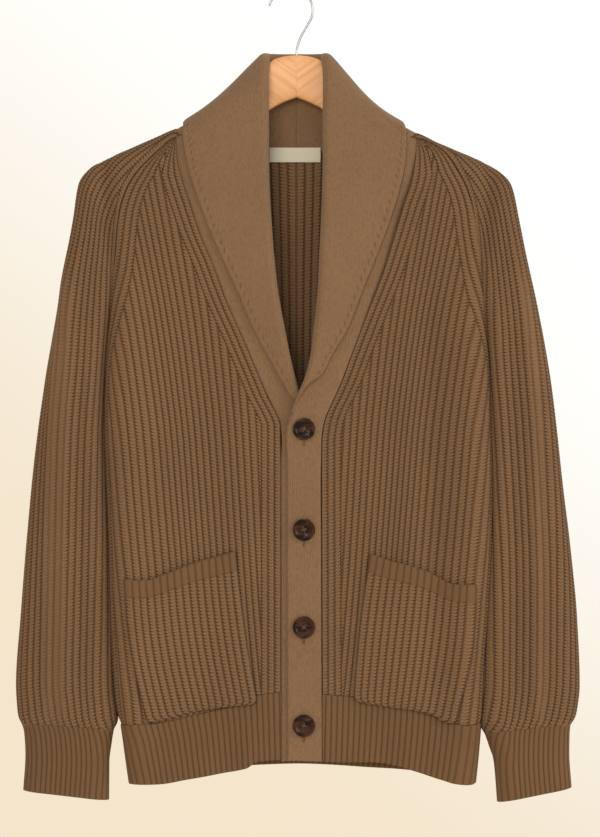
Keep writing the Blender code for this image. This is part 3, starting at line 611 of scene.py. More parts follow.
class Loom:
    """Turns sheets of places into walls of cloth."""

    def __init__(self, name: str, wall: float, inner_rows: int = 4, inner_columns: int = 2) -> None:
        """Keep the piece's name, the wall's thickness and how much coarser its inside is."""
        self.name, self.wall = name, wall
        self.inner_rows, self.inner_columns = inner_rows, inner_columns

    @staticmethod
    def stops(count: int, step: int) -> Array:
        """Every few of a number of rows or columns, with the last one."""
        return np.append(np.arange(0, count - 1, step), count - 1)

    def weave(self, sheet: Sheet, inner: Array | None = None) -> bpy.types.Object:
        """Build the wall.

        Args:
            sheet: the places of its face.
            inner: the places of its inside, if they aren't simply behind the face.

        Returns:
            The piece's object.
        """
        rows, columns = sheet.lift.shape
        outer = sheet.point + sheet.normal * sheet.lift[..., None]
        joined = np.linalg.norm(outer[:, 0] - outer[:, -1], axis=-1) < WELD
        down = np.union1d(self.stops(rows, self.inner_rows), np.flatnonzero(joined)[:1])
        over = self.stops(columns, self.inner_columns)
        if inner is None:
            inner = sheet.point - sheet.normal * (self.wall + INNER_RELIEF * sheet.lift)[..., None]
        inner = inner[down][:, over]
        index = np.arange(rows * columns).reshape(rows, columns)
        back = rows * columns + np.arange(inner.shape[0] * inner.shape[1]).reshape(inner.shape[:2])
        face_uv = self.corner_uv(sheet.near_u, sheet.far_u, sheet.course)
        back_uv = self.corner_uv(sheet.near_u[down][:, over[:-1]], sheet.far_u[down][:, over[1:] - 1],
                                 sheet.course[down][:, over])
        faces = [(self.quads(index), face_uv), (self.quads(back)[:, ::-1], back_uv[:, ::-1])]
        faces += self.rims(index, back, down, over, sheet, joined)
        ease = np.zeros(outer[..., 0].size + inner[..., 0].size)
        if sheet.ease is not None:
            ease[:sheet.ease.size] = sheet.ease.ravel()
        return self.mesh(np.concatenate([outer.reshape(-1, 3), inner.reshape(-1, 3)]), ease, faces,
                         self.turned(outer, sheet.normal))

    @staticmethod
    def quads(index: Array) -> Array:
        """Corners of the faces between rows and columns of vertices."""
        corners = [index[:-1, :-1], index[:-1, 1:], index[1:, 1:], index[1:, :-1]]
        return np.stack(corners, axis=-1).reshape(-1, 4)

    @staticmethod
    def corner_uv(near_u: Array, far_u: Array, course: Array) -> Array:
        """Pattern coordinates at each face's four corners."""
        u = np.stack([near_u[:-1], far_u[:-1], far_u[1:], near_u[1:]], axis=-1)
        v = np.stack([course[:-1, :-1], course[:-1, 1:], course[1:, 1:], course[1:, :-1]], axis=-1)
        return np.stack([u, v], axis=-1).reshape(-1, 4, 2)

    @staticmethod
    def rims(index: Array, back: Array, down: Array, over: Array, sheet: Sheet, joined: Array) -> list:
        """Faces that close the wall at its four edges, apart from rows that are joined into a tube."""
        faces = []
        for edge in (0, -1):
            for spot in range(len(over) - 1):
                span = slice(over[spot], over[spot + 1] + 1)
                ring = np.append(index[edge, span], [back[edge, spot + 1], back[edge, spot]])
                ring = ring if edge else ring[::-1]
                u = sheet.near_u[edge, min(over[spot], sheet.near_u.shape[1] - 1)]
                faces.append((ring[None], np.full((1, len(ring), 2), (u, sheet.course[edge, 0]))))
            for spot in range(len(down) - 1):
                span = slice(down[spot], down[spot + 1] + 1)
                if joined[span].all():
                    continue
                ring = np.append(index[span, edge], [back[spot + 1, edge], back[spot, edge]])
                ring = ring[::-1] if edge else ring
                faces.append((ring[None], np.full((1, len(ring), 2), (0.0, sheet.course[down[spot], edge]))))
        return faces

    @staticmethod
    def turned(outer: Array, normal: Array) -> bool:
        """Whether the rows and columns run so that the faces would point inwards."""
        across, ahead = outer[:-1, 1:] - outer[:-1, :-1], outer[1:, :-1] - outer[:-1, :-1]
        return float(np.sum(np.cross(across, ahead) * normal[:-1, :-1])) < 0

    def mesh(self, points: Array, ease: Array, faces: list, turned: bool) -> bpy.types.Object:
        """Make the mesh, weld places that coincide and link its object.

        Args:
            points: every vertex, in the garment's frame.
            ease: how flat the rib is pulled at each.
            faces: groups of faces of one size, with their pattern's coordinates.
            turned: whether the faces have to be turned over.

        Returns:
            The object.
        """
        place = points * MM + np.array([HOOK_TO_MIDDLE * MM, 0, 0])
        place[np.abs(place) < NOUGHT] = 0.0
        if turned:
            faces = [(ring[:, ::-1], uv[:, ::-1]) for ring, uv in faces]
        totals = np.concatenate([np.full(len(ring), ring.shape[1]) for ring, uv in faces])
        corners = np.concatenate([ring.ravel() for ring, uv in faces])
        data = bpy.data.meshes.new(self.name)
        data.vertices.add(len(place))
        data.vertices.foreach_set("co", place.astype(np.float32).ravel())
        data.loops.add(len(corners))
        data.loops.foreach_set("vertex_index", corners.astype(np.int32))
        data.polygons.add(len(totals))
        data.polygons.foreach_set("loop_start", (np.cumsum(totals) - totals).astype(np.int32))
        data.update(calc_edges=True)
        uv = np.concatenate([part.reshape(-1, 2) for ring, part in faces])
        data.uv_layers.new(name="stitches").data.foreach_set("uv", uv.astype(np.float32).ravel())
        data.attributes.new("ease", "FLOAT", "POINT").data.foreach_set("value", ease.astype(np.float32))
        data.shade_smooth()
        mend(data, weld=True)
        return link(self.name, data)


def report(piece: bpy.types.Object) -> None:
    """Log a finished piece with its number of triangles."""
    count = sum(len(face.vertices) - 2 for face in piece.data.polygons)
    log.info("%s: %d triangles", piece.name, count)


def finish_piece(piece: bpy.types.Object, material: bpy.types.Material,
                 nodes: Sequence[str] = ()) -> None:
    """Dress a piece and set it in the frame.

    Args:
        piece: the object, in place.
        material: what it is made of.
        nodes: the CAD nodes that it stands for.
    """
    piece.data.materials.clear()
    piece.data.materials.append(material)
    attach(piece, BODY)
    if nodes:
        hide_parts(*nodes)
    report(piece)


# ---------------------------------------------------------------- shader maths and finishes

@dataclass(frozen=True)
class Socket:
    """A node's output, on which arithmetic adds Math nodes."""

    web: "NodeWeb"
    port: bpy.types.NodeSocket

    def __add__(self, other: "Socket | float") -> "Socket":
        """Sum."""
        return self.web.math("ADD", self, other)

    def __sub__(self, other: "Socket | float") -> "Socket":
        """Difference."""
        return self.web.math("SUBTRACT", self, other)

    def __rsub__(self, other: float) -> "Socket":
        """Difference from a number."""
        return self.web.math("SUBTRACT", other, self)

    def __mul__(self, other: "Socket | float") -> "Socket":
        """Product."""
        return self.web.math("MULTIPLY", self, other)

    def __truediv__(self, other: "Socket | float") -> "Socket":
        """Quotient."""
        return self.web.math("DIVIDE", self, other)

    def __abs__(self) -> "Socket":
        """Size without its sign."""
        return self.web.math("ABSOLUTE", self)

    __radd__ = __add__
    __rmul__ = __mul__

    def fract(self) -> "Socket":
        """What is left over a whole number."""
        return self.web.math("FRACT", self)

    def ramp(self, low: float, high: float) -> "Socket":
        """Smooth step from 0 at low to 1 at high."""
        found = self.web.node("ShaderNodeMapRange", {"interpolation_type": "SMOOTHSTEP"},
                              {"Value": self, "From Min": low, "From Max": high})
        return Socket(self.web, found.outputs["Result"])

    def wave(self) -> "Socket":
        """Cosine of full turns, from 0 to 1."""
        return self.web.math("COSINE", self * (2 * math.pi)) * 0.5 + 0.5


class NodeWeb:
    """The nodes of a material or of the world."""

    def __init__(self, owner: bpy.types.Material | bpy.types.World) -> None:
        """Start from the owner's first shader."""
        owner.use_nodes = True
        self.owner, self.tree = owner, owner.node_tree
        self.shader = next(node for node in self.tree.nodes if "OUTPUT" not in node.type)

    @classmethod
    def of(cls, name: str) -> "NodeWeb":
        """The nodes of a new material."""
        return cls(bpy.data.materials.new(name))

    def node(self, kind: str, settings: dict | None = None, values: dict | None = None) -> bpy.types.Node:
        """Add a node.

        Args:
            kind: the node's type.
            settings: its own properties, set first; a ramp's stops go under "stops".
            values: numbers, colours or Sockets for its inputs, by name or index.

        Returns:
            The node.
        """
        made = self.tree.nodes.new(kind)
        for key, value in (settings or {}).items():
            if key == "stops":
                while len(made.color_ramp.elements) < len(value):
                    made.color_ramp.elements.new(1.0)
                for stop, (place, colour) in zip(made.color_ramp.elements, value):
                    stop.position, stop.color = place, (*colour, 1)
            else:
                setattr(made, key, value)
        for key, value in (values or {}).items():
            if isinstance(value, Socket):
                self.tree.links.new(value.port, made.inputs[key])
            else:
                made.inputs[key].default_value = value
        return made

    def math(self, operation: str, *values: "Socket | float") -> Socket:
        """A Math node."""
        made = self.node("ShaderNodeMath", {"operation": operation}, dict(enumerate(values)))
        return Socket(self, made.outputs[0])

    def coordinate(self, output: str) -> Socket:
        """One of the texture coordinates."""
        return Socket(self, self.node("ShaderNodeTexCoord").outputs[output])

    def placed(self, vector: Socket, scale: tuple = (1, 1, 1), rotation: tuple = (0, 0, 0)) -> Socket:
        """A vector turned and scaled."""
        found = self.node("ShaderNodeMapping", None, {"Vector": vector, "Scale": scale, "Rotation": rotation})
        return Socket(self, found.outputs["Vector"])

    def axes(self, vector: Socket) -> tuple[Socket, Socket, Socket]:
        """A vector's three numbers."""
        found = self.node("ShaderNodeSeparateXYZ", None, {"Vector": vector})
        return tuple(Socket(self, port) for port in found.outputs)

    def attribute(self, name: str) -> Socket:
        """A mesh's own number."""
        found = self.node("ShaderNodeAttribute", {"attribute_name": name}, {})
        return Socket(self, found.outputs["Fac"])

    def noise(self, vector: Socket, scale: float, detail: float = 3.0, roughness: float = 0.55) -> Socket:
        """Noise from 0 to 1."""
        found = self.node("ShaderNodeTexNoise", None, {"Vector": vector, "Scale": scale, "Detail": detail,
                                                       "Roughness": roughness})
        return Socket(self, found.outputs[0])

    def blend(self, factor: "Socket | float", first: "Socket | tuple", second: "Socket | tuple") -> Socket:
        """A mix of two colours."""
        names = {0: factor, 6: first, 7: second}
        values = {key: (*value, 1) if isinstance(value, tuple) else value for key, value in names.items()}
        found = self.node("ShaderNodeMix", {"data_type": "RGBA"}, values)
        return Socket(self, found.outputs[2])

    def bump(self, height: Socket, distance: float, strength: float = 1.0) -> Socket:
        """A normal from a height, with the distance in metres."""
        given = {"Height": height, "Distance": distance, "Strength": strength}
        found = self.node("ShaderNodeBump", None, given)
        return Socket(self, found.outputs["Normal"])

    def finish(self, colour: "Socket | tuple", roughness: "Socket | float", normal: Socket | None = None,
               **constants: float | tuple) -> bpy.types.Material:
        """Set the shader.

        Args:
            colour: base colour.
            roughness: how matt it is.
            normal: a bump's normal.
            constants: the shader's other inputs, with _ for the spaces in their names.

        Returns:
            The material.
        """
        inputs = {"Base Color": colour, "Roughness": roughness}
        if normal:
            inputs["Normal"] = normal
        inputs |= {name.replace("_", " "): value for name, value in constants.items()}
        for name, value in inputs.items():
            if isinstance(value, Socket):
                self.tree.links.new(value.port, self.shader.inputs[name])
            else:
                self.shader.inputs[name].default_value = (*value, 1) if isinstance(value, tuple) else value
        return self.owner


def shaded(colour: tuple, share: float) -> tuple:
    """A colour made lighter or darker."""
    return tuple(channel * share for channel in colour)


def wool(web: NodeWeb, place: Socket, colour: tuple, patch: tuple, fibre: tuple) -> Socket:
    """Wool's own colour, paler in patches and along single fibres.

    Args:
        web: the material's nodes.
        place: the place on the piece.
        colour: the wool's colour.
        patch: how fine the patches are, and how much lighter.
        fibre: the fibres' noise, its weight and how much lighter they are.

    Returns:
        The colour.
    """
    patches = web.noise(place, patch[0], 3).ramp(0.3, 0.7)
    pale = web.blend(patches, colour, shaded(colour, patch[1]))
    return web.blend((fibre[0] - 0.3) * fibre[1], pale, shaded(colour, fibre[2]))


@dataclass(frozen=True)
class RibKnit:
    """Chunky wool rib: stitches in V shape along each rib, with painted shade in the grooves, a darker dot of
    painted shade beside each stitch there, and painted shade in the gaps between the stitches' arms and at
    each rib's heart.
    """

    name: str
    colour: tuple = (0.206, 0.113, 0.056)
    # deep: the colour of the painted shade in the grooves, the gaps between the arms and the rib's heart
    deep: tuple = (0.070, 0.027, 0.008)
    slant: float = 1.0
    # gap, groove, dot and heart: how strong the painted shade is between the arms, along the grooves, at the
    # dot beside each stitch and at the rib's heart
    gap: float = 1.05
    groove: float = 0.12
    dot: float = 0.62
    heart: float = 0.14

    def make(self) -> bpy.types.Material:
        """The material."""
        web = NodeWeb.of(self.name)
        u, v, _ = web.axes(web.coordinate("UV"))
        place = web.coordinate("Object")
        yarn = web.noise(place, 900, 2)
        wobble = web.noise(place, 150, 2) - 0.5
        across = (u + wobble * 0.14).fract() - 0.5
        off = abs(across)
        along = v + wobble * 0.3 + ((u * 0.5).fract() - 0.5).ramp(-0.01, 0.01) * 0.5
        arm = abs((along + off * self.slant).fract() - 0.5) * 2
        between = arm.ramp(0.42, 0.95)
        side = off.ramp(0.08, 0.40)
        hollow = off.ramp(0.30, 0.49)
        dots = (along + self.slant * 0.5 + 0.5).wave()
        ticks = between * (side * 0.6 + 0.4) * (across * 1.2 + 0.8) * self.gap
        heart = 1 - off.ramp(0.0, 0.10)
        # painted shade: darker between the stitches' arms, along the grooves, at a dot beside each stitch and
        # at the heart of the rib
        dark = ticks * (1 - hollow * 0.5) + hollow * (dots * self.dot + self.groove) + heart * self.heart
        # less painted shade where a crease pulls the rib flat
        dark = dark * (1 - web.attribute("ease") * 0.75)
        # the painted shade mixes the wool's colour towards deep
        colour = web.blend(dark, wool(web, place, self.colour, (9, 1.10), (yarn, 0.5, 1.5)), self.deep)
        height = (1 - hollow) * (1.6 - ticks * 1.4 - heart * self.heart * 2) + yarn * 0.35 \
            - dots * hollow * self.dot * 1.4
        normal = web.bump(height, 0.0007)
        return web.finish(colour, 0.92, normal, Sheen_Weight=0.05, Sheen_Roughness=0.55,
                          Sheen_Tint=(0.95, 0.80, 0.62), Specular_IOR_Level=0.15)


@dataclass(frozen=True)
class FineRib:
    """Fine, dense rib of the collar and the bands, with fashioning marks beside the edge strip and painted
    shade between its ribs and rows.
    """

    name: str
    colour: tuple = (0.221, 0.124, 0.064)
    # deep: the colour of the painted shade between the ribs and rows; the fashioning marks and the grain
    # darken towards it too
    deep: tuple = (0.086, 0.043, 0.019)
    mark_pitch: float = 4.0

    def make(self) -> bpy.types.Material:
        """The material."""
        web = NodeWeb.of(self.name)
        u, v, _ = web.axes(web.coordinate("UV"))
        place = web.coordinate("Object")
        yarn = web.noise(place, 1400, 2)
        grain = web.noise(web.placed(place, scale=(1.0, 1.0, 0.4)), 640, 2)
        wobble = web.noise(place, 260, 2) - 0.5
        off = abs((u + wobble * 0.2).fract() - 0.5)
        crown = 1 - off.ramp(0.22, 0.5)
        row = (v + off * 1.2 + wobble * 0.5).wave()
        strip = u.ramp(STRIP / 2, STRIP / 2 + 1)
        inward = u - (STRIP + 3.0)
        near = strip * (1 - abs(inward).ramp(0.5, 1.1))
        mark = near * (1 - (abs((v / self.mark_pitch + inward * 0.3).fract() - 0.5)).ramp(0.10, 0.28))
        # painted shade between the ribs and between the rows of stitches; the fashioning marks are darker
        # too, and the grain varies the tone at random
        dark = (1 - crown) * 0.26 + (1 - row) * 0.12 + mark * 0.35 + (grain.ramp(0.3, 0.75) - 0.5) * 0.38
        colour = web.blend(dark, wool(web, place, self.colour, (11, 1.08), (yarn, 0.45, 1.35)), self.deep)
        height = crown * 0.55 + row * 0.35 + yarn * 0.4 - mark * 0.9 - grain * 1.2
        return web.finish(colour, 0.92, web.bump(height, 0.0003), Sheen_Weight=0.2, Sheen_Roughness=0.5,
                          Sheen_Tint=(0.95, 0.82, 0.66), Specular_IOR_Level=0.18)


@dataclass(frozen=True)
class Horn:
    """Polished dark horn with tan streaks."""

    name: str
    turn: float
    dark: tuple = (0.010, 0.005, 0.003)
    brown: tuple = (0.060, 0.021, 0.011)
    tan: tuple = (0.13, 0.062, 0.034)

    def make(self) -> bpy.types.Material:
        """The material."""
        web = NodeWeb.of(self.name)
        place = web.placed(web.coordinate("Object"), rotation=(0.3, self.turn, 0.2), scale=(1.0, 1.0, 2.6))
        cloud = web.noise(place, 62, 4, 0.6)
        streak = web.noise(place, 105, 3, 0.5)
        colour = web.blend(cloud.ramp(0.42, 0.62), self.dark, self.brown)
        colour = web.blend(streak.ramp(0.62, 0.78), colour, self.tan)
        roughness = web.noise(place, 300, 2) * 0.10 + 0.16
        return web.finish(colour, roughness, web.bump(web.noise(place, 700, 2), 0.00003), Coat_Weight=0.05,
                          Coat_Roughness=0.1, Specular_IOR_Level=0.12)


@dataclass(frozen=True)
class Beech:
    """Lacquered beech whose grain runs up to the mitre."""

    name: str
    side: int
    pale: tuple = (0.92, 0.48, 0.20)
    dark: tuple = (0.64, 0.28, 0.10)
    lean: float = 0.62

    def make(self) -> bpy.types.Material:
        """The material."""
        web = NodeWeb.of(self.name)
        turned = web.placed(web.coordinate("Object"), rotation=(0, self.side * self.lean, 0))
        warp = web.noise(turned, 18, 2) - 0.5
        band = web.noise(web.placed(turned, scale=(6, 6, 210)), 1.0, 2).ramp(0.35, 0.68)
        fine = web.noise(web.placed(turned, scale=(60, 900, 2400)), 1.0, 4, 0.6)
        fleck = web.noise(web.placed(turned, scale=(260, 260, 2600)), 1.0, 2).ramp(0.62, 0.74)
        colour = web.blend(band * 0.55 + fine * 0.55 + warp * 0.3 - 0.1, self.pale, self.dark)
        colour = web.blend(fleck * 0.45, colour, shaded(self.dark, 0.72))
        return web.finish(colour, fine * 0.12 + 0.36, web.bump(fine, 0.00005), Coat_Weight=0.15,
                          Coat_Roughness=0.25)


@dataclass(frozen=True)
class Wire:
    """Bright steel wire."""

    name: str
    colour: tuple = (0.50, 0.49, 0.50)

    def make(self) -> bpy.types.Material:
        """The material."""
        web = NodeWeb.of(self.name)
        place = web.coordinate("Object")
        scuff = web.noise(web.placed(place, scale=(300, 300, 60)), 1.0, 3)
        colour = web.blend(scuff.ramp(0.35, 0.75), self.colour, shaded(self.colour, 0.85))
        return web.finish(colour, scuff * 0.1 + 0.26, web.bump(scuff, 0.00001), Metallic=1.0)


@dataclass(frozen=True)
class Tape:
    """Woven tape or thread in one colour."""

    name: str
    colour: tuple
    threads: float = 2600.0

    def make(self) -> bpy.types.Material:
        """The material."""
        web = NodeWeb.of(self.name)
        x, _, z = web.axes(web.coordinate("Object"))
        weave = (x * self.threads).wave() * (z * self.threads * 0.8).wave()
        mottle = web.noise(web.coordinate("Object"), 400, 3)
        colour = web.blend(weave * 0.25 + mottle * 0.2, self.colour, shaded(self.colour, 0.78))
        return web.finish(colour, 0.8, web.bump(weave + mottle * 0.5, 0.00012), Sheen_Weight=0.1)


@dataclass(frozen=True)
class Plaster:
    """A painted floor."""

    name: str
    colour: tuple

    def make(self) -> bpy.types.Material:
        """The material."""
        web = NodeWeb.of(self.name)
        place = web.coordinate("Object")
        mottle = web.noise(place, 3, 3)
        colour = web.blend(mottle * 0.3, self.colour, shaded(self.colour, 0.96))
        return web.finish(colour, 0.9, web.bump(web.noise(place, 140, 4), 0.0004, 0.35))


# ---------------------------------------------------------------- panels, hems, sleeves and cuffs

@dataclass(frozen=True)
class Cut:
    """A piece's cut before it was sewn: width and length in metres, and its area."""

    width: float
    length: float
    area: float

    def declare(self, piece: bpy.types.Object, rests_on: Sequence[str]) -> None:
        """Does nothing; the piece is not declared a hung sheet of this cut."""


def knit(node: str, sheet: Sheet, material: bpy.types.Material, cut: Cut, rests_on: Sequence[str],
         inner_rows: int = 4) -> None:
    """Weave the ribbed piece that stands for a CAD node and dress it.

    Args:
        node: the CAD node.
        sheet: the piece's places.
        material: its knit.
        cut: its cut.
        rests_on: what it hangs on; not used.
        inner_rows: how much coarser its inside is along the ribs.
    """
    piece = Loom(f"{node}_knit", FORM.cloth, inner_rows).weave(sheet)
    finish_piece(piece, material, [node])
    cut.declare(piece, rests_on)


@dataclass
class Panels:
    """The two fronts and the back, in chunky rib."""

    stitch: Stitch = HALF_CARDIGAN
    top: dict = field(default_factory=lambda: {FRONT: 158.0, BACK: 150.0})
    rib_start: float = 172.0
    level_end: float = 643.0
    edge_ribs: int = 3
    front_cut: Cut = Cut(0.225, 0.600, 0.105)
    back_cut: Cut = Cut(0.440, 0.600, 0.235)

    def half(self, side: Side, face: Face, inner: Callable[[Array], Array], near_ribs: int,
             top: Callable[[Array], Array] | None = None) -> Sheet:
        """One side of a panel.

        Args:
            side: the wearer's side.
            face: front or back.
            inner: gives the inner edge's distance at a drop.
            near_ribs: ribs that run beside the inner edge.
            top: gives the upper edge's drop, where it isn't level.

        Returns:
            The half's places.
        """
        end = float(FORM.hem_join(face, side * FORM.rib_level))
        level = np.arange(self.top[face], end, self.stitch.course / ROWS)
        level = np.append(level, end)
        plan = RibPlan(self.stitch, near_ribs, self.edge_ribs)
        along, phase, scale, near_u, far_u = plan.columns(
            inner(level), FORM.body_width(side, level),
            lambda count: FORM.ribs(side, face, count, np.maximum(level, self.rib_start)[:, None]))
        share = np.clip((level - self.level_end) / (end - self.level_end), 0, 1)[:, None]
        straight = np.minimum(level, self.level_end)[:, None]
        drop = straight + share * (FORM.hem_join(face, side * along) - straight)
        if top:
            drop = np.maximum(drop, top(along))
        point, normal = FORM.body(side, face, along, drop)
        course = drop / self.stitch.course
        lift = sunk(self.stitch.lift(phase, course) * scale, FORM.hem_join(face, side * along) - drop)
        return Sheet(point, normal, lift, near_u, far_u, course)

    def build(self, material: bpy.types.Material) -> None:
        """Make the three panels."""
        for side in Side:
            sheet = self.half(side, FRONT, FORM.neckline[side], self.edge_ribs)
            knit(f"front_{side.word}", sheet, material, self.front_cut, [f"hanger_arm_{side.word}"])
        halves = [self.half(side, BACK, np.zeros_like, 0, FORM.back_neck) for side in (R, L)]
        arms = [f"hanger_arm_{side.word}" for side in Side]
        knit("back", Sheet.joined(*halves), material, self.back_cut, arms, inner_rows=3)


@dataclass
class Hems:
    """The ribs that hang below the fronts and the back."""

    stitch: Stitch = HEM_RIB
    width_top: float = 750.0
    pinch: float = 0.7
    pinch_reach: float = 2.0
    front_cut: Cut = Cut(0.205, 0.072, 0.0130)
    back_cut: Cut = Cut(0.410, 0.072, 0.0270)

    def half(self, side: Side, face: Face, inner: float) -> Sheet:
        """One side of a hem, from a distance out to the side seam."""
        count = round(FORM.hem_height / self.stitch.course * ROWS) + 1
        share = np.linspace(0, 1, count)
        outer = FORM.body_width(side, self.width_top + share * (FORM.hem_low - self.width_top))
        plan = RibPlan(self.stitch, 0, 1)
        lean = (outer / outer[0])[:, None]
        along, phase, scale, near_u, far_u = plan.columns(
            np.full(count, inner), outer, lambda lines: lines * self.stitch.pitch * lean)
        join, edge = FORM.hem_join(face, side * along), FORM.hem_edge[face](side * along)
        drop = join + share[:, None] * (edge - join)
        point, normal = FORM.body(side, face, along, drop)
        course = np.broadcast_to(share[:, None] * FORM.hem_height / self.stitch.course, along.shape)
        pinch = 1 - self.pinch * bell(share[:, None] * FORM.hem_height, self.pinch_reach)
        return Sheet(point, normal, self.stitch.lift(phase, course) * scale * pinch, near_u, far_u, course)

    def build(self, material: bpy.types.Material) -> None:
        """Make the three hems."""
        for side in Side:
            sheet = self.half(side, FRONT, float(FORM.neckline[side](FORM.hem_low)))
            knit(f"hem_front_{side.word}", sheet, material, self.front_cut, [f"front_{side.word}_knit"])
        halves = [self.half(side, BACK, 0.0) for side in (R, L)]
        knit("hem_back", Sheet.joined(*halves), material, self.back_cut, ["back_knit"])


def along_rows(keys: Array, values: Array, places: Array) -> Array:
    """Values on a smooth curve through rows, one row for each place."""
    return np.stack([Curve(tuple(zip(keys, column)))(places) for column in values.T], axis=-1)


def tube_sheet(side: Side, rings: Array, stitch: Stitch, edge_ribs: int, twist: float = 0.0) -> Sheet:
    """A flattened ribbed tube through its sections.

    Args:
        side: the wearer's side.
        rings: a row for each section: inner x and drop, outer x and drop, and its turn.
        stitch: the rib.
        edge_ribs: ribs beside each edge.
        twist: how far the ribs above the widest row turn to the back, as a share of the narrowing.

    Returns:
        The tube's places.
    """
    middle = (rings[:, :2] + rings[:, 2:4]) / 2
    keys = np.append(0, np.cumsum(np.linalg.norm(np.diff(middle, axis=0), axis=1)))
    count = round(keys[-1] / stitch.course * ROWS) + 1
    length = np.linspace(0, keys[-1], count)
    fine = along_rows(keys, rings, length)
    inner = (fine[:, :2] * (side, -1))[:, None]
    outer = (fine[:, 2:4] * (side, -1))[:, None]
    turn = np.clip(fine[:, 4], 0, math.pi / 2)[:, None]
    half = FORM.tube_half(inner, outer, turn)[:, 0]
    widest = int(np.argmax(half))
    shift = -twist * (half[widest] - half) * (np.arange(count) < widest)
    along, phase, scale, near_u, far_u = RibPlan(stitch, edge_ribs, edge_ribs).columns(
        -half, half, lambda lines: lines * stitch.pitch + shift[:, None])
    point, normal = FORM.tube(inner, outer, turn, along)
    course = np.broadcast_to(length[:, None] / stitch.course, along.shape)
    ease = np.where(along >= 0, FORM.ease(FRONT, point[..., 0], -point[..., 2]),
                    FORM.ease(BACK, point[..., 0], -point[..., 2]))
    lift = stitch.lift(phase, course) * scale * (1 - CREASE_FLAT * ease)
    if twist:
        lift = sunk(lift, (keys[-1] - length)[:, None])
    return Sheet(point, normal, lift, near_u, far_u, course, ease)


@dataclass
class Sleeves:
    """The raglan sleeves and their cuffs."""

    seam_levels: tuple = (158, 158.4, 158.8, 160.5, 168, 180, 196, 214, 236, 262, 292, 326, 364, 401, 430,
                          460)
    clear: tuple = (-1.6, -1.2, -0.4, 0.2, 0.2, 0.2, 0.2, 0.2, 0.2, 0.2, 0.0, -0.3, -0.5, -0.7, -0.8, -0.8)
    head: dict = field(default_factory=lambda: {
        L: ((115, 157.0), (120.5, 155.0), (125.6, 152.4), (130.8, 154.0), (147, 162.2), (168, 171),
            (184, 177.5), (200, 185), (213.6, 193.5), (225, 208), (232, 241), (241, 286), (252, 338),
            (260.3, 383), (266, 417), (270.8, 453)),
        R: ((115, 153.6), (121.0, 151.0), (126.2, 147.8), (131.0, 149.3), (146, 156), (166, 164.8),
            (184, 172.5), (201, 180.5), (216, 188.5), (229, 206), (234.6, 243), (243, 290),
            (251.5, 340), (259, 383), (264.7, 417), (270, 453))})
    tube: dict = field(default_factory=lambda: {
        L: (Ring(520, 278, 516, -0.8), Ring(585, 286.4, 582, -0.8), Ring(660, 294, 658, -0.6),
            Ring(735, 297, 732, 2.4), Ring(768, 294, 760, 4.8), Ring(784, 288.4, 776, 11.0)),
        R: (Ring(520, 277.5, 516, -0.8), Ring(585, 283.6, 582, -0.8), Ring(660, 289.5, 658, -0.6),
            Ring(735, 294.6, 732, 2.4), Ring(765, 293, 760, 4.6), Ring(780, 289.2, 776, 10.8))})
    cuff: dict = field(default_factory=lambda: {
        L: (Band(200.5, 781, 288.0, 772), Band(204.0, 792, 287.0, 783), Band(210.0, 812, 286.6, 803),
            Band(213.5, 854, 289, 840)),
        R: (Band(193.5, 777.5, 289.0, 772), Band(195.5, 790, 286.5, 783), Band(198.2, 812, 285.2, 805),
            Band(198.6, 852.5, 287.5, 843))})
    twist: float = 0.55
    sleeve_cut: Cut = Cut(0.270, 0.680, 0.125)
    cuff_cut: Cut = Cut(0.190, 0.072, 0.0125)

    def build(self, sleeve_material: bpy.types.Material, cuff_material: bpy.types.Material) -> None:
        """Make both sleeves and both cuffs."""
        for side in Side:
            rings = [Ring(level, *fold, clear)
                     for level, fold, clear in zip(self.seam_levels, self.head[side], self.clear)]
            rings += self.tube[side]
            rows = np.array([(FORM.reach[side](ring.seam_drop) + ring.clear, ring.seam_drop, ring.fold_x,
                              ring.fold_drop, FORM.side_turn(ring.seam_drop)) for ring in rings])
            sheet = tube_sheet(side, rows, HALF_CARDIGAN, 1, self.twist)
            knit(f"sleeve_{side.word}", sheet, sleeve_material, self.sleeve_cut, [f"hanger_arm_{side.word}"])
            rows = np.array([(band.inner_x, band.inner_drop, band.outer_x, band.outer_drop, math.pi / 2)
                             for band in self.cuff[side]])
            sheet = tube_sheet(side, rows, PLAIN_RIB, 0)
            knit(f"cuff_{side.word}", sheet, cuff_material, self.cuff_cut, [f"sleeve_{side.word}_knit"])


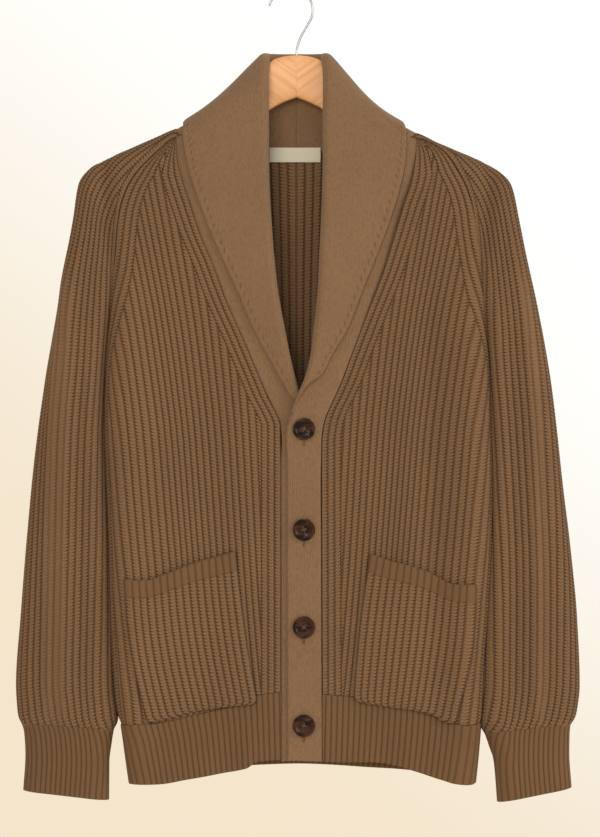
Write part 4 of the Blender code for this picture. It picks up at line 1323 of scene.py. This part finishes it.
@dataclass
class Pockets:
    """The patch pockets and the plain-rib welts at their mouths."""

    shapes: dict = field(default_factory=lambda: {
        L: Pocket(Curve(((0, 592.9), (0.208, 600.6), (0.42, 606.4), (0.6, 613.9), (0.73, 621.8),
                         (0.82, 624.9), (0.96, 624.9), (1, 625.4))), (76.8, 184.2),
                  Curve(((0, 747.9), (0.35, 753.9), (0.59, 757.1), (0.77, 761.6), (0.89, 768.6), (1, 772.4))),
                  (59.5, 165.3), -2.3, 4.2),
        R: Pocket(Curve(((0, 589.8), (0.137, 595.4), (0.4, 603.8), (0.62, 613.2), (0.82, 620.8),
                         (0.9, 620.6), (1, 618.9))), (63.6, 178.6),
                  Curve(((0, 751.2), (0.225, 753.4), (0.45, 756.5), (0.6, 759.2), (0.82, 766.3), (1, 771.2))),
                  (40.5, 155.5), 2.1, 5.2)})
    welt_share: float = 0.125
    stand: float = 4.3
    gape: float = 1.6
    corner_round: float = 7.0
    tuck: float = 0.9
    tuck_reach: float = 4.5
    edge_reach: float = 3.0
    patch_cut: Cut = Cut(0.112, 0.145, 0.0155)
    welt_cut: Cut = Cut(0.112, 0.020, 0.0021)

    def sheet(self, side: Side, low: float, high: float, stitch: Stitch) -> Sheet:
        """Places of a pocket between two shares of its height."""
        shape = self.shapes[side]
        width, height = shape.mouth_ends[1] - shape.mouth_ends[0], float(shape.base(0.5) - shape.mouth(0.5))
        ribs = round(width / stitch.pitch)
        down = np.linspace(low, high, round((high - low) * height / stitch.course * ROWS) + 1)[:, None]
        past = np.maximum((down - 1) * height + self.corner_round, 0) / self.corner_round
        inset = self.corner_round / width * (1 - np.sqrt(np.maximum(1 - past**2, 0)))
        count = np.arange(ribs * SAMPLES + 1)[None]
        across = inset + (1 - 2 * inset) * count / count.max()
        bow = np.sin(math.pi * down) * (shape.bow_in * (1 - across) + shape.bow_out * across)
        x = np.interp(across, (0, 1), shape.mouth_ends) * (1 - down) \
            + np.interp(across, (0, 1), shape.base_ends) * down + bow
        spot = np.stack([x, shape.mouth(across) * (1 - down) + shape.base(across) * down], axis=-1)
        point, normal = FORM.body(side, FRONT, spot[..., 0], spot[..., 1])
        edge = np.minimum(np.minimum(across, 1 - across) * width, (1 - down) * height)
        stand = self.stand + self.gape * np.sin(math.pi * across) * (1 - down) ** 3
        stand = stand - self.tuck * (1 - smooth_step(edge / self.tuck_reach))
        phase = count / SAMPLES * np.ones_like(down)
        course = down * height / stitch.course * np.ones_like(across)
        lift = sunk(stitch.lift(phase, course), np.minimum(edge, down * height), self.edge_reach)
        return Sheet(point + normal * stand[..., None], normal, lift, phase[:, :-1], phase[:, 1:], course)

    def build(self, patch_material: bpy.types.Material, welt_material: bpy.types.Material) -> None:
        """Make both pockets and both welts."""
        for side in Side:
            patch = f"pocket_{side.word}"
            sheet = self.sheet(side, self.welt_share, 1.0, HALF_CARDIGAN)
            knit(patch, sheet, patch_material, self.patch_cut, [f"front_{side.word}_knit"])
            sheet = self.sheet(side, 0.0, self.welt_share, BROAD_RIB)
            knit(f"pocket_welt_{side.word}", sheet, welt_material, self.welt_cut, [f"{patch}_knit"])


# ---------------------------------------------------------------- collar, bands, buttons and label

@dataclass(frozen=True)
class Lapel:
    """The drops at which a section of the collar's front meets its seam, its roll and its edge."""

    seam: float
    roll: float
    fall: float


def loft(stations: Array, values: Array, places: Array) -> Array:
    """Smooth curves through values that are given at stations.

    Args:
        stations: rising positions along the loft.
        values: an array of any shape for each station.
        places: positions at which the curves are read.

    Returns:
        The values at the places.
    """
    shape = (-1,) + (1,) * (values.ndim - 1)
    gaps = np.diff(stations).reshape(shape)
    steps = np.diff(values, axis=0) / gaps
    inner = (gaps[:-1] * steps[1:] + gaps[1:] * steps[:-1]) / (gaps[:-1] + gaps[1:])
    slopes = np.concatenate([steps[:1], inner, steps[-1:]])
    index = np.clip(np.searchsorted(stations, places, side="right") - 1, 0, len(stations) - 2)
    span = gaps[index]
    return hermite(values[index], values[index + 1], slopes[index] * span, slopes[index + 1] * span,
                   (places - stations[index]).reshape(shape) / span)


@dataclass
class Section:
    """A cut across the collar and band: its lines, and how far it has become a flat band."""

    seam: Array
    roll: Array
    fall: Array
    sag: float
    on_front: bool
    flat: float


NAPE_MIDDLE = Nape((-0.3, 15.5, 171), (-0.3, 15.5, 67.4), (-0.3, 24.0, 179), 0.0)
NAPE_SIDE = Nape((50, 15.5, 169), (17, 15.5, 67.4), (48, 23.6, 175), 0.5)


@dataclass
class CollarBand:
    """One side of the shawl collar with the button band that it runs into."""

    nape: dict = field(default_factory=lambda: {
        L: (NAPE_MIDDLE, NAPE_SIDE,
            Nape((97, 15.0, 162), (26.0, 12.0, 67.6), (103, 23.0, 169), 3.0),
            Nape((121.5, 9.0, 153.4), (28.0, 4.5, 68.8), (115.5, 21.5, 158), 5.6),
            Nape((125.6, 0.0, 152.8), (28.4, -4.0, 72), (114.8, 4.0, 142.6), 6.2),
            Nape((126.8, -7.5, 154.6), (28.6, -9.5, 77), (114.6, -9.5, 143.6), 5.8),
            Nape((126.6, -12.5, 156.5), (28.8, -14.0, 86), (114.8, -17.4, 149.0), 3.6)),
        R: (NAPE_MIDDLE, NAPE_SIDE,
            Nape((97, 15.0, 162), (27.4, 12.0, 67.6), (106, 23.0, 168), 2.0),
            Nape((121.5, 9.0, 150.6), (30.4, 4.5, 68.8), (119.5, 21.5, 156), 3.6),
            Nape((125.0, 0.0, 148.4), (30.6, -4.0, 72), (119.8, 4.0, 140.6), 3.9),
            Nape((126.4, -7.5, 149.8), (30.6, -9.5, 77), (119.6, -9.5, 141.6), 3.8),
            Nape((126.4, -12.5, 152.5), (30.5, -14.0, 86), (119.2, -17.4, 147.0), 3.0))})
    lapel_top: dict = field(default_factory=lambda: {
        L: ((161, 105, 157), (171, 130, 167), (185, 158, 182)),
        R: ((158, 105, 153.5), (169, 130, 165), (184, 158, 181))})
    lapel: tuple = ((206, 188, 203), (234, 219, 232), (264, 252, 261), (296, 287, 293), (330, 323, 327),
                    (363, 358, 360))
    lapel_end: dict = field(default_factory=lambda: {
        L: ((392, 388, 387), (415, 410, 406), (434, 425, 421)),
        R: ((395, 390, 391), (420, 415, 414), (440, 434, 431))})
    band_drops: tuple = ((449, 444), (462, 460), (500, 500), (580, 580), (643, 643), (700, 700), (755, 755),
                         (811, 810))
    roll_radius: float = 5.4
    roll_share: float = 0.2
    roll_least: float = 1.75
    fall_stand: float = 0.9
    edge_turn: float = 0.45
    stand_columns: int = 14
    roll_columns: int = 10
    fall_columns: int = 18
    edge_columns: int = 5
    edge_strip: float = 8.0
    edge_stops: tuple = (0.75, 0.5, 0.25, 0.1, 0.0)
    edge_thin: float = 0.4
    sag_skew: float = 1.35
    end_rows: tuple = (0.7, 1.5, -1.0)
    groove: float = 0.9
    groove_width: float = 1.1
    row_pitch: float = 2.6
    rib_pitch: float = 2.1
    course: float = 2.4
    collar_cut: Cut = Cut(0.216, 0.880, 0.080)

    def sections(self, side: Side) -> list[Section]:
        """Every section from the centre back to the hem."""
        signs = np.array([side, 1, -1])
        found = [Section(signs * nape.seam, signs * nape.roll, signs * nape.fall, nape.sag, False, 0.0)
                 for nape in self.nape[side]]
        for drops in self.lapel_top[side] + self.lapel + self.lapel_end[side]:
            found.append(self.front_section(side, Lapel(*drops)))
        for seam_drop, edge_drop in self.band_drops:
            found.append(self.band_section(side, seam_drop, edge_drop))
        return found

    def band_point(self, side: Side, x: float, drop: float, share: float) -> Array:
        """A place on the band's middle surface."""
        return np.array([side * x, float(FORM.band_depth(side, drop, share)), -drop])

    def front_section(self, side: Side, lapel: Lapel) -> Section:
        """A section where the collar lies turned over on the front."""
        seam = self.band_point(side, float(FORM.neckline[side](lapel.seam)), lapel.seam, 0)
        roll_x = float(FORM.roll_line[side](lapel.roll)) + FORM.band_cloth / 2
        roll = self.band_point(side, roll_x, lapel.roll, 1)
        fall_x, seam_x = float(FORM.fall_edge[side](lapel.fall)), float(FORM.neckline[side](lapel.fall))
        share = (seam_x - fall_x) / max(seam_x - float(FORM.roll_line[side](lapel.fall)), 1.0)
        fall = self.band_point(side, fall_x, lapel.fall, share)
        fall[1] -= FORM.band_cloth + self.fall_stand
        return Section(seam, roll, fall, 0.0, True, 0.0)

    def band_section(self, side: Side, seam_drop: float, edge_drop: float) -> Section:
        """A section of the flat button band."""
        seam = self.band_point(side, float(FORM.neckline[side](seam_drop)), seam_drop, 0)
        roll_x = float(FORM.roll_line[side](edge_drop)) + FORM.band_cloth / 2
        roll = self.band_point(side, roll_x, edge_drop, 1)
        for point in (seam, roll):
            point[1] -= float(FORM.drape(FRONT, np.array(point[0]), np.array(-point[2])))
        return Section(seam, roll, roll.copy(), 0.0, True, 1.0)

    def lines(self, side: Side, found: list[Section], index: int) -> tuple[Array, Array, Array]:
        """Places across one section.

        Args:
            side: the wearer's side.
            found: all sections.
            index: which one.

        Returns:
            Places on the outer layer, on the inner layer, and the pattern's coordinate at both
            ends of each face between them.
        """
        here, before, after = found[index], found[max(index - 1, 0)], found[min(index + 1, len(found) - 1)]
        ahead = unit(unit(after.roll - before.roll) + unit(after.seam - before.seam))
        if index == 0:
            ahead = np.array([side, 0.0, 0.0])
        rise = here.roll - here.seam
        rise = unit(rise - ahead * np.dot(rise, ahead))
        out = np.cross(ahead, rise) * -side
        radius = max(self.roll_share * np.linalg.norm(here.fall - here.roll), self.roll_least)
        radius = min(self.roll_radius, radius) * (1 - here.flat)
        centre = here.roll - rise * radius + (out * radius if here.on_front else 0)
        half = FORM.band_cloth / 2
        stand = np.linspace(0, 1, self.stand_columns, endpoint=False)[:, None]
        angle = np.linspace(0, math.pi, self.roll_columns + 1)[:, None]
        fall_start = centre + out * radius
        width = float(np.linalg.norm(here.fall - fall_start))
        strip = min(self.edge_strip / max(width, 0.1), 0.6)
        fall = np.append(np.linspace(0, 1 - strip, self.fall_columns + 1)[1:],
                         1 - strip * np.array(self.edge_stops))[:, None]
        hollow = -out * here.sag
        turned_edge = np.clip((fall - 1 + strip) / strip, 0, 1) ** 3 * self.edge_turn
        line = np.concatenate([
            here.seam + (centre - out * radius - here.seam) * stand + hollow * np.sin(math.pi * stand),
            centre - out * radius * np.cos(angle) + rise * radius * np.sin(angle),
            fall_start + (here.fall - fall_start) * fall
            + hollow * (np.sin(math.pi * fall**self.sag_skew) + turned_edge)])
        facing = np.concatenate([np.repeat(-out[None], len(stand), axis=0),
                                 -out * np.cos(angle) + rise * np.sin(angle),
                                 np.repeat(out[None], len(fall), axis=0)])
        slope = unit(np.gradient(line, axis=0) + 1e-9)
        turned = unit(facing - slope * np.sum(facing * slope, -1, keepdims=True))
        facing = np.where(here.flat > 0, facing, turned)
        thick = np.full((len(line), 1), half)
        thick[-1] *= self.edge_thin
        outer, inner = line + facing * thick, line - facing * thick
        past = np.arange(len(line)) >= self.stand_columns
        inner[past] += (here.flat * (centre + out * half - inner))[past]
        outer[-1] += here.flat * (fall_start + out * half - outer[-1])
        return outer, inner, line

    def sheet(self, side: Side) -> tuple[Sheet, Array]:
        """The places of the collar and band, and those of the inner layer."""
        found = self.sections(side)
        coarse = [self.lines(side, found, index) for index in range(len(found))]
        outer, inner, line = (np.stack([part[layer] for part in coarse]) for layer in range(3))
        middle = np.stack([(part.seam + 2 * part.roll) / 3 for part in found])
        stations = np.append(0, np.cumsum(np.linalg.norm(np.diff(middle, axis=0), axis=1)))
        count = round(stations[-1] / self.row_pitch)
        ends = [row % stations[-1] for row in self.end_rows]
        places = np.sort(np.append(np.linspace(0, stations[-1], count + 1), ends))
        outer, inner, line = (loft(stations, part, places) for part in (outer, inner, line))
        roll = self.stand_columns + self.roll_columns // 2
        step = np.linalg.norm(np.diff(line, axis=1), axis=-1)
        across = np.concatenate([np.zeros((len(places), 1)), np.cumsum(step, axis=1)], axis=1)
        count = (across - across[:, roll:roll + 1]) / self.rib_pitch
        near_u, far_u = count[:, :-1].copy(), count[:, 1:].copy()
        from_edge = STRIP + (across[:, -1:] - across) / self.rib_pitch
        near_u[:, -self.edge_columns:] = from_edge[:, -self.edge_columns - 1:-1]
        far_u[:, -self.edge_columns:] = from_edge[:, -self.edge_columns:]
        facing = unit(outer - inner)
        seam_groove = -self.groove * bell(places, self.groove_width)[:, None] * np.ones_like(across)
        course = np.broadcast_to(places[:, None] / self.course, across.shape)
        return Sheet(outer, facing, seam_groove, near_u, far_u, course), inner

    def build(self, material: bpy.types.Material) -> None:
        """Make both sides."""
        for side, word in ((R, "under"), (L, "over")):
            sheet, inner = self.sheet(side)
            piece = Loom(f"collar_band_{side.word}", FORM.band_cloth, 1, 1).weave(sheet, inner)
            finish_piece(piece, material, [f"collar_{side.word}", f"placket_{word}"])
            self.collar_cut.declare(piece, [f"front_{side.word}_knit", "back_knit"])


def select_none() -> None:
    """Leave edit mode and deselect everything."""
    if bpy.context.object and bpy.context.object.mode != "OBJECT":
        bpy.ops.object.mode_set(mode="OBJECT")
    bpy.ops.object.select_all(action="DESELECT")


def settle(piece: bpy.types.Object) -> None:
    """Put a piece's place into its mesh and leave its object at the origin."""
    bpy.context.view_layer.update()
    piece.data.transform(piece.matrix_world)
    piece.matrix_world = Matrix.Identity(4)


def smooth(piece: bpy.types.Object, degrees: float) -> None:
    """Shade a piece smooth where its faces meet at less than an angle."""
    select_none()
    piece.select_set(True)
    bpy.context.view_layer.objects.active = piece
    bpy.ops.object.shade_smooth_by_angle(angle=math.radians(degrees))


def modify(piece: bpy.types.Object, kind: str, **settings: object) -> None:
    """Add a modifier and apply it."""
    modifier = piece.modifiers.new(kind.lower(), kind)
    for key, value in settings.items():
        setattr(modifier, key, value)
    bpy.context.view_layer.objects.active = piece
    bpy.ops.object.modifier_apply(modifier=modifier.name)


def rename(piece: bpy.types.Object, name: str) -> bpy.types.Object:
    """Name a piece and its mesh."""
    piece.name = piece.data.name = name
    return piece


def select_faces(piece: bpy.types.Object, chosen: Callable[[bpy.types.MeshPolygon], bool]) -> None:
    """Select faces by a test and go to edit mode with them."""
    for edge in piece.data.edges:
        edge.select = False
    for vertex in piece.data.vertices:
        vertex.select = False
    for face in piece.data.polygons:
        face.select = chosen(face)
    bpy.ops.object.mode_set(mode="EDIT")


@dataclass
class HornButtons:
    """Four-hole horn buttons with a raised rim, sewn on with crossed thread over buttonholes."""

    drops: tuple = (463.0, 568.0, 670.0, 773.0)
    x: float = 7.6
    radius: float = 11.6
    thick: float = 3.6
    stand: float = 1.0
    rim: float = 0.76
    rim_slope: float = 0.13
    well: float = 0.35
    back_share: float = 0.86
    edge_round: float = 0.55
    dish: float = 1.15
    hollow: float = 0.25
    hole_radius: float = 1.15
    hole_reach: float = 2.3
    hole_turn: tuple = (0.35, 1.1, 0.1, 0.7)
    thread_radius: float = 0.42
    thread_half: float = 1.1
    thread_share: float = 0.96
    thread_gap: float = 0.38
    thread_rise: tuple = (0.25, 0.75)
    thread_dive: float = 1.9
    thread_bend: float = 0.72
    slit_drop: float = 15.5
    slit_half: float = 4.2
    slit_under: float = 2.0
    slit_sunk: float = 0.15

    def face_depth(self, drop: float) -> float:
        """Depth of the band's face behind a button."""
        seam_x, edge_x = float(FORM.neckline[L](drop)), float(FORM.roll_line[L](drop))
        share = (seam_x - self.x) / (seam_x - edge_x)
        set_back = float(FORM.band_depth(L, drop, share)) - FORM.band_cloth / 2
        return set_back - float(FORM.drape(FRONT, np.array(self.x), np.array(drop)))

    def model(self) -> bpy.types.Object:
        """One button facing +Z, in millimetres, with its back at zero."""
        select_none()
        bpy.ops.mesh.primitive_cylinder_add(vertices=48, radius=self.radius, depth=self.thick,
                                            calc_uvs=False, location=(0, 0, self.thick / 2))
        piece = bpy.context.object
        select_faces(piece, lambda face: face.normal.z > 0.9)
        bpy.ops.mesh.inset(thickness=self.radius * (1 - self.rim), depth=0)
        bpy.ops.mesh.inset(thickness=self.radius * self.rim_slope, depth=0)
        bpy.ops.transform.translate(value=(0, 0, -self.dish))
        bpy.ops.mesh.inset(thickness=self.radius * self.well, depth=0)
        bpy.ops.transform.translate(value=(0, 0, -self.hollow))
        bpy.ops.object.mode_set(mode="OBJECT")
        select_faces(piece, lambda face: face.normal.z < -0.9)
        bpy.ops.transform.resize(value=(self.back_share, self.back_share, 1))
        bpy.ops.object.mode_set(mode="OBJECT")
        self.pierce(piece)
        modify(piece, "BEVEL", width=self.edge_round, segments=3, limit_method="ANGLE", angle_limit=0.5)
        return piece

    def pierce(self, piece: bpy.types.Object) -> None:
        """Cut the four holes."""
        for corner in range(4):
            angle = math.pi / 4 + corner * math.pi / 2
            select_none()
            place = (self.hole_reach * math.cos(angle), self.hole_reach * math.sin(angle), self.thick / 2)
            bpy.ops.mesh.primitive_cylinder_add(vertices=14, radius=self.hole_radius, depth=self.thick * 4,
                                                calc_uvs=False, location=place)
            cutter = bpy.context.object
            modify(piece, "BOOLEAN", operation="DIFFERENCE", solver="EXACT", object=cutter)
            bpy.data.objects.remove(cutter)

    def thread(self) -> bpy.types.Object:
        """The crossed thread through the holes of one button, in millimetres."""
        select_none()
        level, half = self.thick - self.dish - self.hollow, self.hole_reach * self.thread_half
        strands = []
        for angle, height in zip((math.pi / 4, -math.pi / 4), self.thread_rise):
            for shift in (-self.thread_gap, self.thread_gap):
                bpy.ops.mesh.primitive_cylinder_add(vertices=8, radius=self.thread_radius,
                                                    depth=half * 2, location=(0, 0, 0))
                strand = bpy.context.object
                bpy.ops.object.mode_set(mode="EDIT")
                bpy.ops.mesh.select_all(action="SELECT")
                bpy.ops.mesh.subdivide(number_cuts=7)
                bpy.ops.object.mode_set(mode="OBJECT")
                for vertex in strand.data.vertices:
                    x, y, z = vertex.co
                    dive = max(0.0, abs(z) / half - self.thread_bend) / (1 - self.thread_bend)
                    rise = height * (1 - (z / half) ** 2) - self.thread_dive * dive
                    along = z * self.thread_share
                    vertex.co = (along * math.cos(angle) - (y + shift) * math.sin(angle),
                                 along * math.sin(angle) + (y + shift) * math.cos(angle), level + rise + x)
                strands.append(strand)
        select_none()
        for strand in strands:
            strand.select_set(True)
        bpy.context.view_layer.objects.active = strands[0]
        bpy.ops.object.join()
        return strands[0]

    def place(self, model: bpy.types.Object, name: str, drop: float, turn: float) -> bpy.types.Object:
        """Copy a model to its place on the band."""
        piece = link(name, model.data.copy())
        piece.data.name = name
        spot = Vector((self.x + HOOK_TO_MIDDLE, self.face_depth(drop) - self.stand, -drop)) * MM
        piece.data.transform(Matrix.Translation(spot) @ Matrix.Rotation(math.pi / 2, 4, "X")
                             @ Matrix.Rotation(turn, 4, "Z") @ Matrix.Scale(MM, 4))
        mend(piece.data, turn=True)
        smooth(piece, 32)
        return piece

    def build(self, thread_material: bpy.types.Material) -> None:
        """Make the buttons, their thread and the buttonholes' edges."""
        model, thread = self.model(), self.thread()
        for number, (drop, turn) in enumerate(zip(self.drops, self.hole_turn), start=1):
            piece = self.place(model, f"horn_button_{number}", drop, turn)
            horn = Horn(f"horn_{number}", turn * 4 + number).make()
            finish_piece(piece, horn, [f"button_{number}"])
            sewn = self.place(thread, f"button_thread_{number}", drop, turn)
            finish_piece(sewn, thread_material)
            finish_piece(self.buttonhole(number, drop), thread_material)
        for item in (model, thread):
            bpy.data.objects.remove(item)

    def buttonhole(self, number: int, drop: float) -> bpy.types.Object:
        """The worked edge of the buttonhole that shows below a button."""
        select_none()
        middle = drop + self.slit_drop - self.slit_under
        depth = self.face_depth(middle) - self.slit_sunk
        bpy.ops.mesh.primitive_torus_add(major_radius=1.0, minor_radius=self.thread_radius,
                                         major_segments=32, minor_segments=8)
        piece = rename(bpy.context.object, f"buttonhole_{number}")
        for vertex in piece.data.vertices:
            x, y, z = vertex.co
            reach = math.hypot(x, y)
            long = y / reach * (self.slit_half - 1) + y
            vertex.co = ((x + self.x + HOOK_TO_MIDDLE) * MM, (depth + z) * MM, (long - middle) * MM)
        mend(piece.data, turn=True)
        piece.data.shade_smooth()
        return piece


@dataclass
class NeckLabel:
    """The bare woven label, sewn on at its ends."""

    size: tuple = (54.0, 0.8, 15.5)
    drop: float = 173.0
    x: float = -1.7
    off: float = 1.4
    wave: float = 0.25
    end_sink: float = 0.175
    twist: float = 0.2

    def build(self, material: bpy.types.Material) -> None:
        """Make the label."""
        select_none()
        depth = float(FORM.body_depth(self.drop)) - FORM.cloth - self.off
        spot = Vector((self.x + HOOK_TO_MIDDLE, depth, -self.drop)) * MM
        bpy.ops.mesh.primitive_cube_add(size=1, calc_uvs=False)
        piece = rename(bpy.context.object, "bare_label")
        piece.scale = Vector(self.size) * MM
        piece.location = spot
        settle(piece)
        bpy.ops.object.mode_set(mode="EDIT")
        bpy.ops.mesh.select_all(action="SELECT")
        bpy.ops.mesh.subdivide(number_cuts=9)
        bpy.ops.object.mode_set(mode="OBJECT")
        half = self.size[0] / 2 * MM
        for vertex in piece.data.vertices:
            share = (vertex.co.x - spot.x) / half
            edge = (vertex.co.z - spot.z) / (self.size[2] / 2 * MM)
            vertex.co.y += (self.wave * math.sin(3.1 * share) - self.end_sink * abs(share) ** 6
                            + self.twist * edge * math.cos(2 * share)) * MM
        modify(piece, "BEVEL", width=0.2 * MM, segments=2, limit_method="ANGLE")
        piece.data.shade_smooth()
        finish_piece(piece, material, ["neck_label"])


@dataclass
class Hanger:
    """The two wooden arms, mitred at the middle, and the wire hook."""

    arm: tuple = ((0.04, 69.1, 44.7), (14, 70.8, 48.5), (27, 75.8, 50.4), (45, 98, 43), (60, 118, 35),
                  (80, 136, 30), (100, 150, 27))
    arm_outer: tuple = ((126, 25), (154, 23), (180, 20), (198, 17), (208, 14))
    half: float = 6.5
    across_power: float = 0.55
    height_power: float = 0.5
    end_round: float = 6.0
    under_cloth: float = 7.2
    wire: float = 1.2
    loop: float = 23.0
    loop_end: float = 168.0
    stem_turn: float = -18.0
    stem: tuple = ((0.6, 62), (4.0, 51), (10.0, 40))
    bore: float = 22.0
    shoulder: dict = field(default_factory=lambda: {
        side: Curve(rows) for side, rows in
        ((L, ((118.5, 142.3), (147, 161.5), (168, 171), (184, 177.5), (200, 185), (213.6, 193.5))),
         (R, ((119.3, 142), (146, 156), (166, 164.8), (184, 172.5), (201, 180.5), (216, 188.5))))})

    def arm_shape(self, side: Side) -> bpy.types.Object:
        """One arm as a rounded loft."""
        rows = list(self.arm) + [(x, float(self.shoulder[side](x)) + self.under_cloth, height)
                                 for x, height in self.arm_outer]
        x, top, height = np.array(rows, float).T
        places = np.linspace(x[0], x[-1], 80)
        top, height = loft(x, top, places), loft(x, height, places)
        angle = np.linspace(0, 2 * math.pi, 28, endpoint=False)
        cos, sin = np.cos(angle), np.sin(angle)
        across = np.sign(cos) * np.abs(cos) ** self.across_power
        share = 0.5 - 0.5 * np.sign(sin) * np.abs(sin) ** self.height_power
        past = np.clip((places - x[-1]) / self.end_round + 1, 0, 1)
        end = np.sqrt(np.clip(1 - past**2, 0.01, 1))[:, None]
        middle = (top + height / 2)[:, None]
        point = np.stack([side * places[:, None] * np.ones_like(across),
                          across * self.half * end,
                          -(middle + (share - 0.5) * height[:, None] * end)], axis=-1)
        shell = bmesh.new()
        places = point * MM + np.array([HOOK_TO_MIDDLE * MM, 0, 0])
        rings = [[shell.verts.new(spot) for spot in ring] for ring in places]
        for near, far in zip(rings, rings[1:]):
            for index in range(len(near)):
                after = (index + 1) % len(near)
                shell.faces.new((near[index], near[after], far[after], far[index]))
        shell.faces.new(rings[0])
        shell.faces.new(rings[-1])
        bmesh.ops.recalc_face_normals(shell, faces=shell.faces)
        data = bpy.data.meshes.new(f"beech_arm_{side.word}")
        shell.to_mesh(data)
        shell.free()
        return link(data.name, data)

    def hook_shape(self) -> bpy.types.Object:
        """The bent wire."""
        centre = np.array([-HOOK_TO_MIDDLE, -(self.loop - self.wire)])
        foot = self.arm[0][1] + self.bore - 2
        path = [(0, -foot), (0, -self.arm[0][1])] + [(x, -drop) for x, drop in self.stem]
        for turn in np.radians(np.linspace(self.stem_turn, self.loop_end, 15)):
            path.append(tuple(centre + self.loop * np.array([math.cos(turn), math.sin(turn)])))
        path = np.array(path, float)
        stations = np.append(0, np.cumsum(np.linalg.norm(np.diff(path, axis=0), axis=1)))
        fine = loft(stations, path, np.linspace(0, stations[-1], 120))
        wire = bpy.data.curves.new("steel_hook", "CURVE")
        wire.dimensions, wire.bevel_depth, wire.bevel_resolution = "3D", self.wire * MM, 4
        wire.use_fill_caps = True
        spline = wire.splines.new("POLY")
        spline.points.add(len(fine) - 1)
        for spot, (x, z) in zip(spline.points, fine):
            spot.co = ((x + HOOK_TO_MIDDLE) * MM, 0, z * MM, 1)
        holder = link("steel_hook_line", wire)
        data = bpy.data.meshes.new_from_object(holder.evaluated_get(bpy.context.evaluated_depsgraph_get()))
        bpy.data.objects.remove(holder)
        data.name = "steel_hook"
        mend(data, weld=True, turn=True)
        data.shade_smooth()
        return link(data.name, data)

    def build(self) -> None:
        """Make the arms and the hook."""
        for side in Side:
            piece = self.arm_shape(side)
            smooth(piece, 40)
            beech = Beech(f"beech_{side.word}", side).make()
            finish_piece(piece, beech, [f"hanger_arm_{side.word}"])
        finish_piece(self.hook_shape(), Wire("steel_wire").make(), ["hanger_hook"])


# ---------------------------------------------------------------- studio

@dataclass
class Studio:
    """A pale floor under the hanging garment, soft lights, a light backdrop and the camera."""

    target: tuple = (0.0095, 0.0, -0.452)
    distance: float = 2.9
    view_height: float = 0.879
    front_plane: float = 0.010
    floor_z: float = -1.35
    floor_radius: float = 2.6
    white: tuple = (1.0, 1.0, 0.98)
    cream: tuple = (0.89, 0.77, 0.59)
    shade: float = 0.64

    def camera(self) -> None:
        """Set the camera level in front of the garment."""
        data = bpy.data.cameras.new("front_view")
        data.sensor_fit, data.sensor_width = "AUTO", 36.0
        data.lens = data.sensor_width * (self.distance - self.front_plane) / self.view_height
        item = link("front_view", data)
        item.location = Vector(self.target) + Vector((0, -self.distance, 0))
        item.rotation_euler = (math.pi / 2, 0, 0)
        bpy.context.scene.camera = item

    def floor(self, material: bpy.types.Material) -> None:
        """A round pale floor."""
        select_none()
        bpy.ops.mesh.primitive_circle_add(vertices=96, radius=self.floor_radius, fill_type="NGON",
                                          location=(0, 0, self.floor_z))
        piece = rename(bpy.context.object, "studio_floor")
        settle(piece)
        piece.data.materials.append(material)

    def light(self, name: str, size: float, power: float, place: tuple, colour: tuple) -> None:
        """A soft square light that faces the garment."""
        data = bpy.data.lights.new(name, "AREA")
        data.size, data.energy, data.color = size, power, colour
        item = link(name, data)
        item.location = place
        item.rotation_euler = (Vector(place) - Vector(self.target)).to_track_quat("Z", "Y").to_euler()

    def backdrop(self) -> None:
        """A room that is white above, cream below, and dimmer in front of the garment."""
        world = bpy.data.worlds.new("soft_room")
        web = NodeWeb(world)
        x, y, z = web.axes(web.coordinate("Generated"))
        height = (x * 2.6 + z * 3.4 + 0.50).ramp(0.0, 1.0)
        colour = web.blend(height, self.cream, self.white)
        web.tree.links.new(colour.port, web.shader.inputs["Color"])
        strength = y.ramp(-0.2, 0.75) * (1.02 - self.shade) + self.shade
        web.tree.links.new(strength.port, web.shader.inputs["Strength"])
        bpy.context.scene.world = world
        bpy.context.scene.view_settings.view_transform = "Standard"

    def build(self) -> None:
        """Set the stage."""
        self.floor(Plaster("painted_floor", (0.90, 0.87, 0.80)).make())
        self.light("key_light", 2.0, 69, (4.0, -2.0, 0.7), (1.0, 0.975, 0.93))
        self.light("front_light", 1.2, 27, (-0.7, -2.7, 0.4), (1.0, 0.985, 0.95))
        self.backdrop()


def main() -> None:
    """Build the cardigan, its hanger and the studio."""
    logging.basicConfig(level=logging.INFO, format="%(message)s")
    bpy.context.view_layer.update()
    studio = Studio()
    studio.camera()
    rib = RibKnit("half_cardigan_rib").make()
    # the plain rib's painted shade: weaker between the arms and at the dots, stronger along the grooves, none
    # at the rib's heart
    plain = RibKnit("plain_rib", (0.154, 0.081, 0.037), slant=1.2, gap=0.12, groove=0.30, dot=0.06,
                    heart=0.0).make()
    band = FineRib("fine_band_rib").make()
    Panels().build(rib)
    Hems().build(plain)
    Sleeves().build(rib, plain)
    Pockets().build(rib, plain)
    CollarBand().build(band)
    HornButtons().build(Tape("taupe_thread", (0.10, 0.055, 0.03)).make())
    NeckLabel().build(Tape("cream_tape", (0.82, 0.74, 0.56)).make())
    Hanger().build()
    studio.build()


if __name__ == "__main__":
    main()
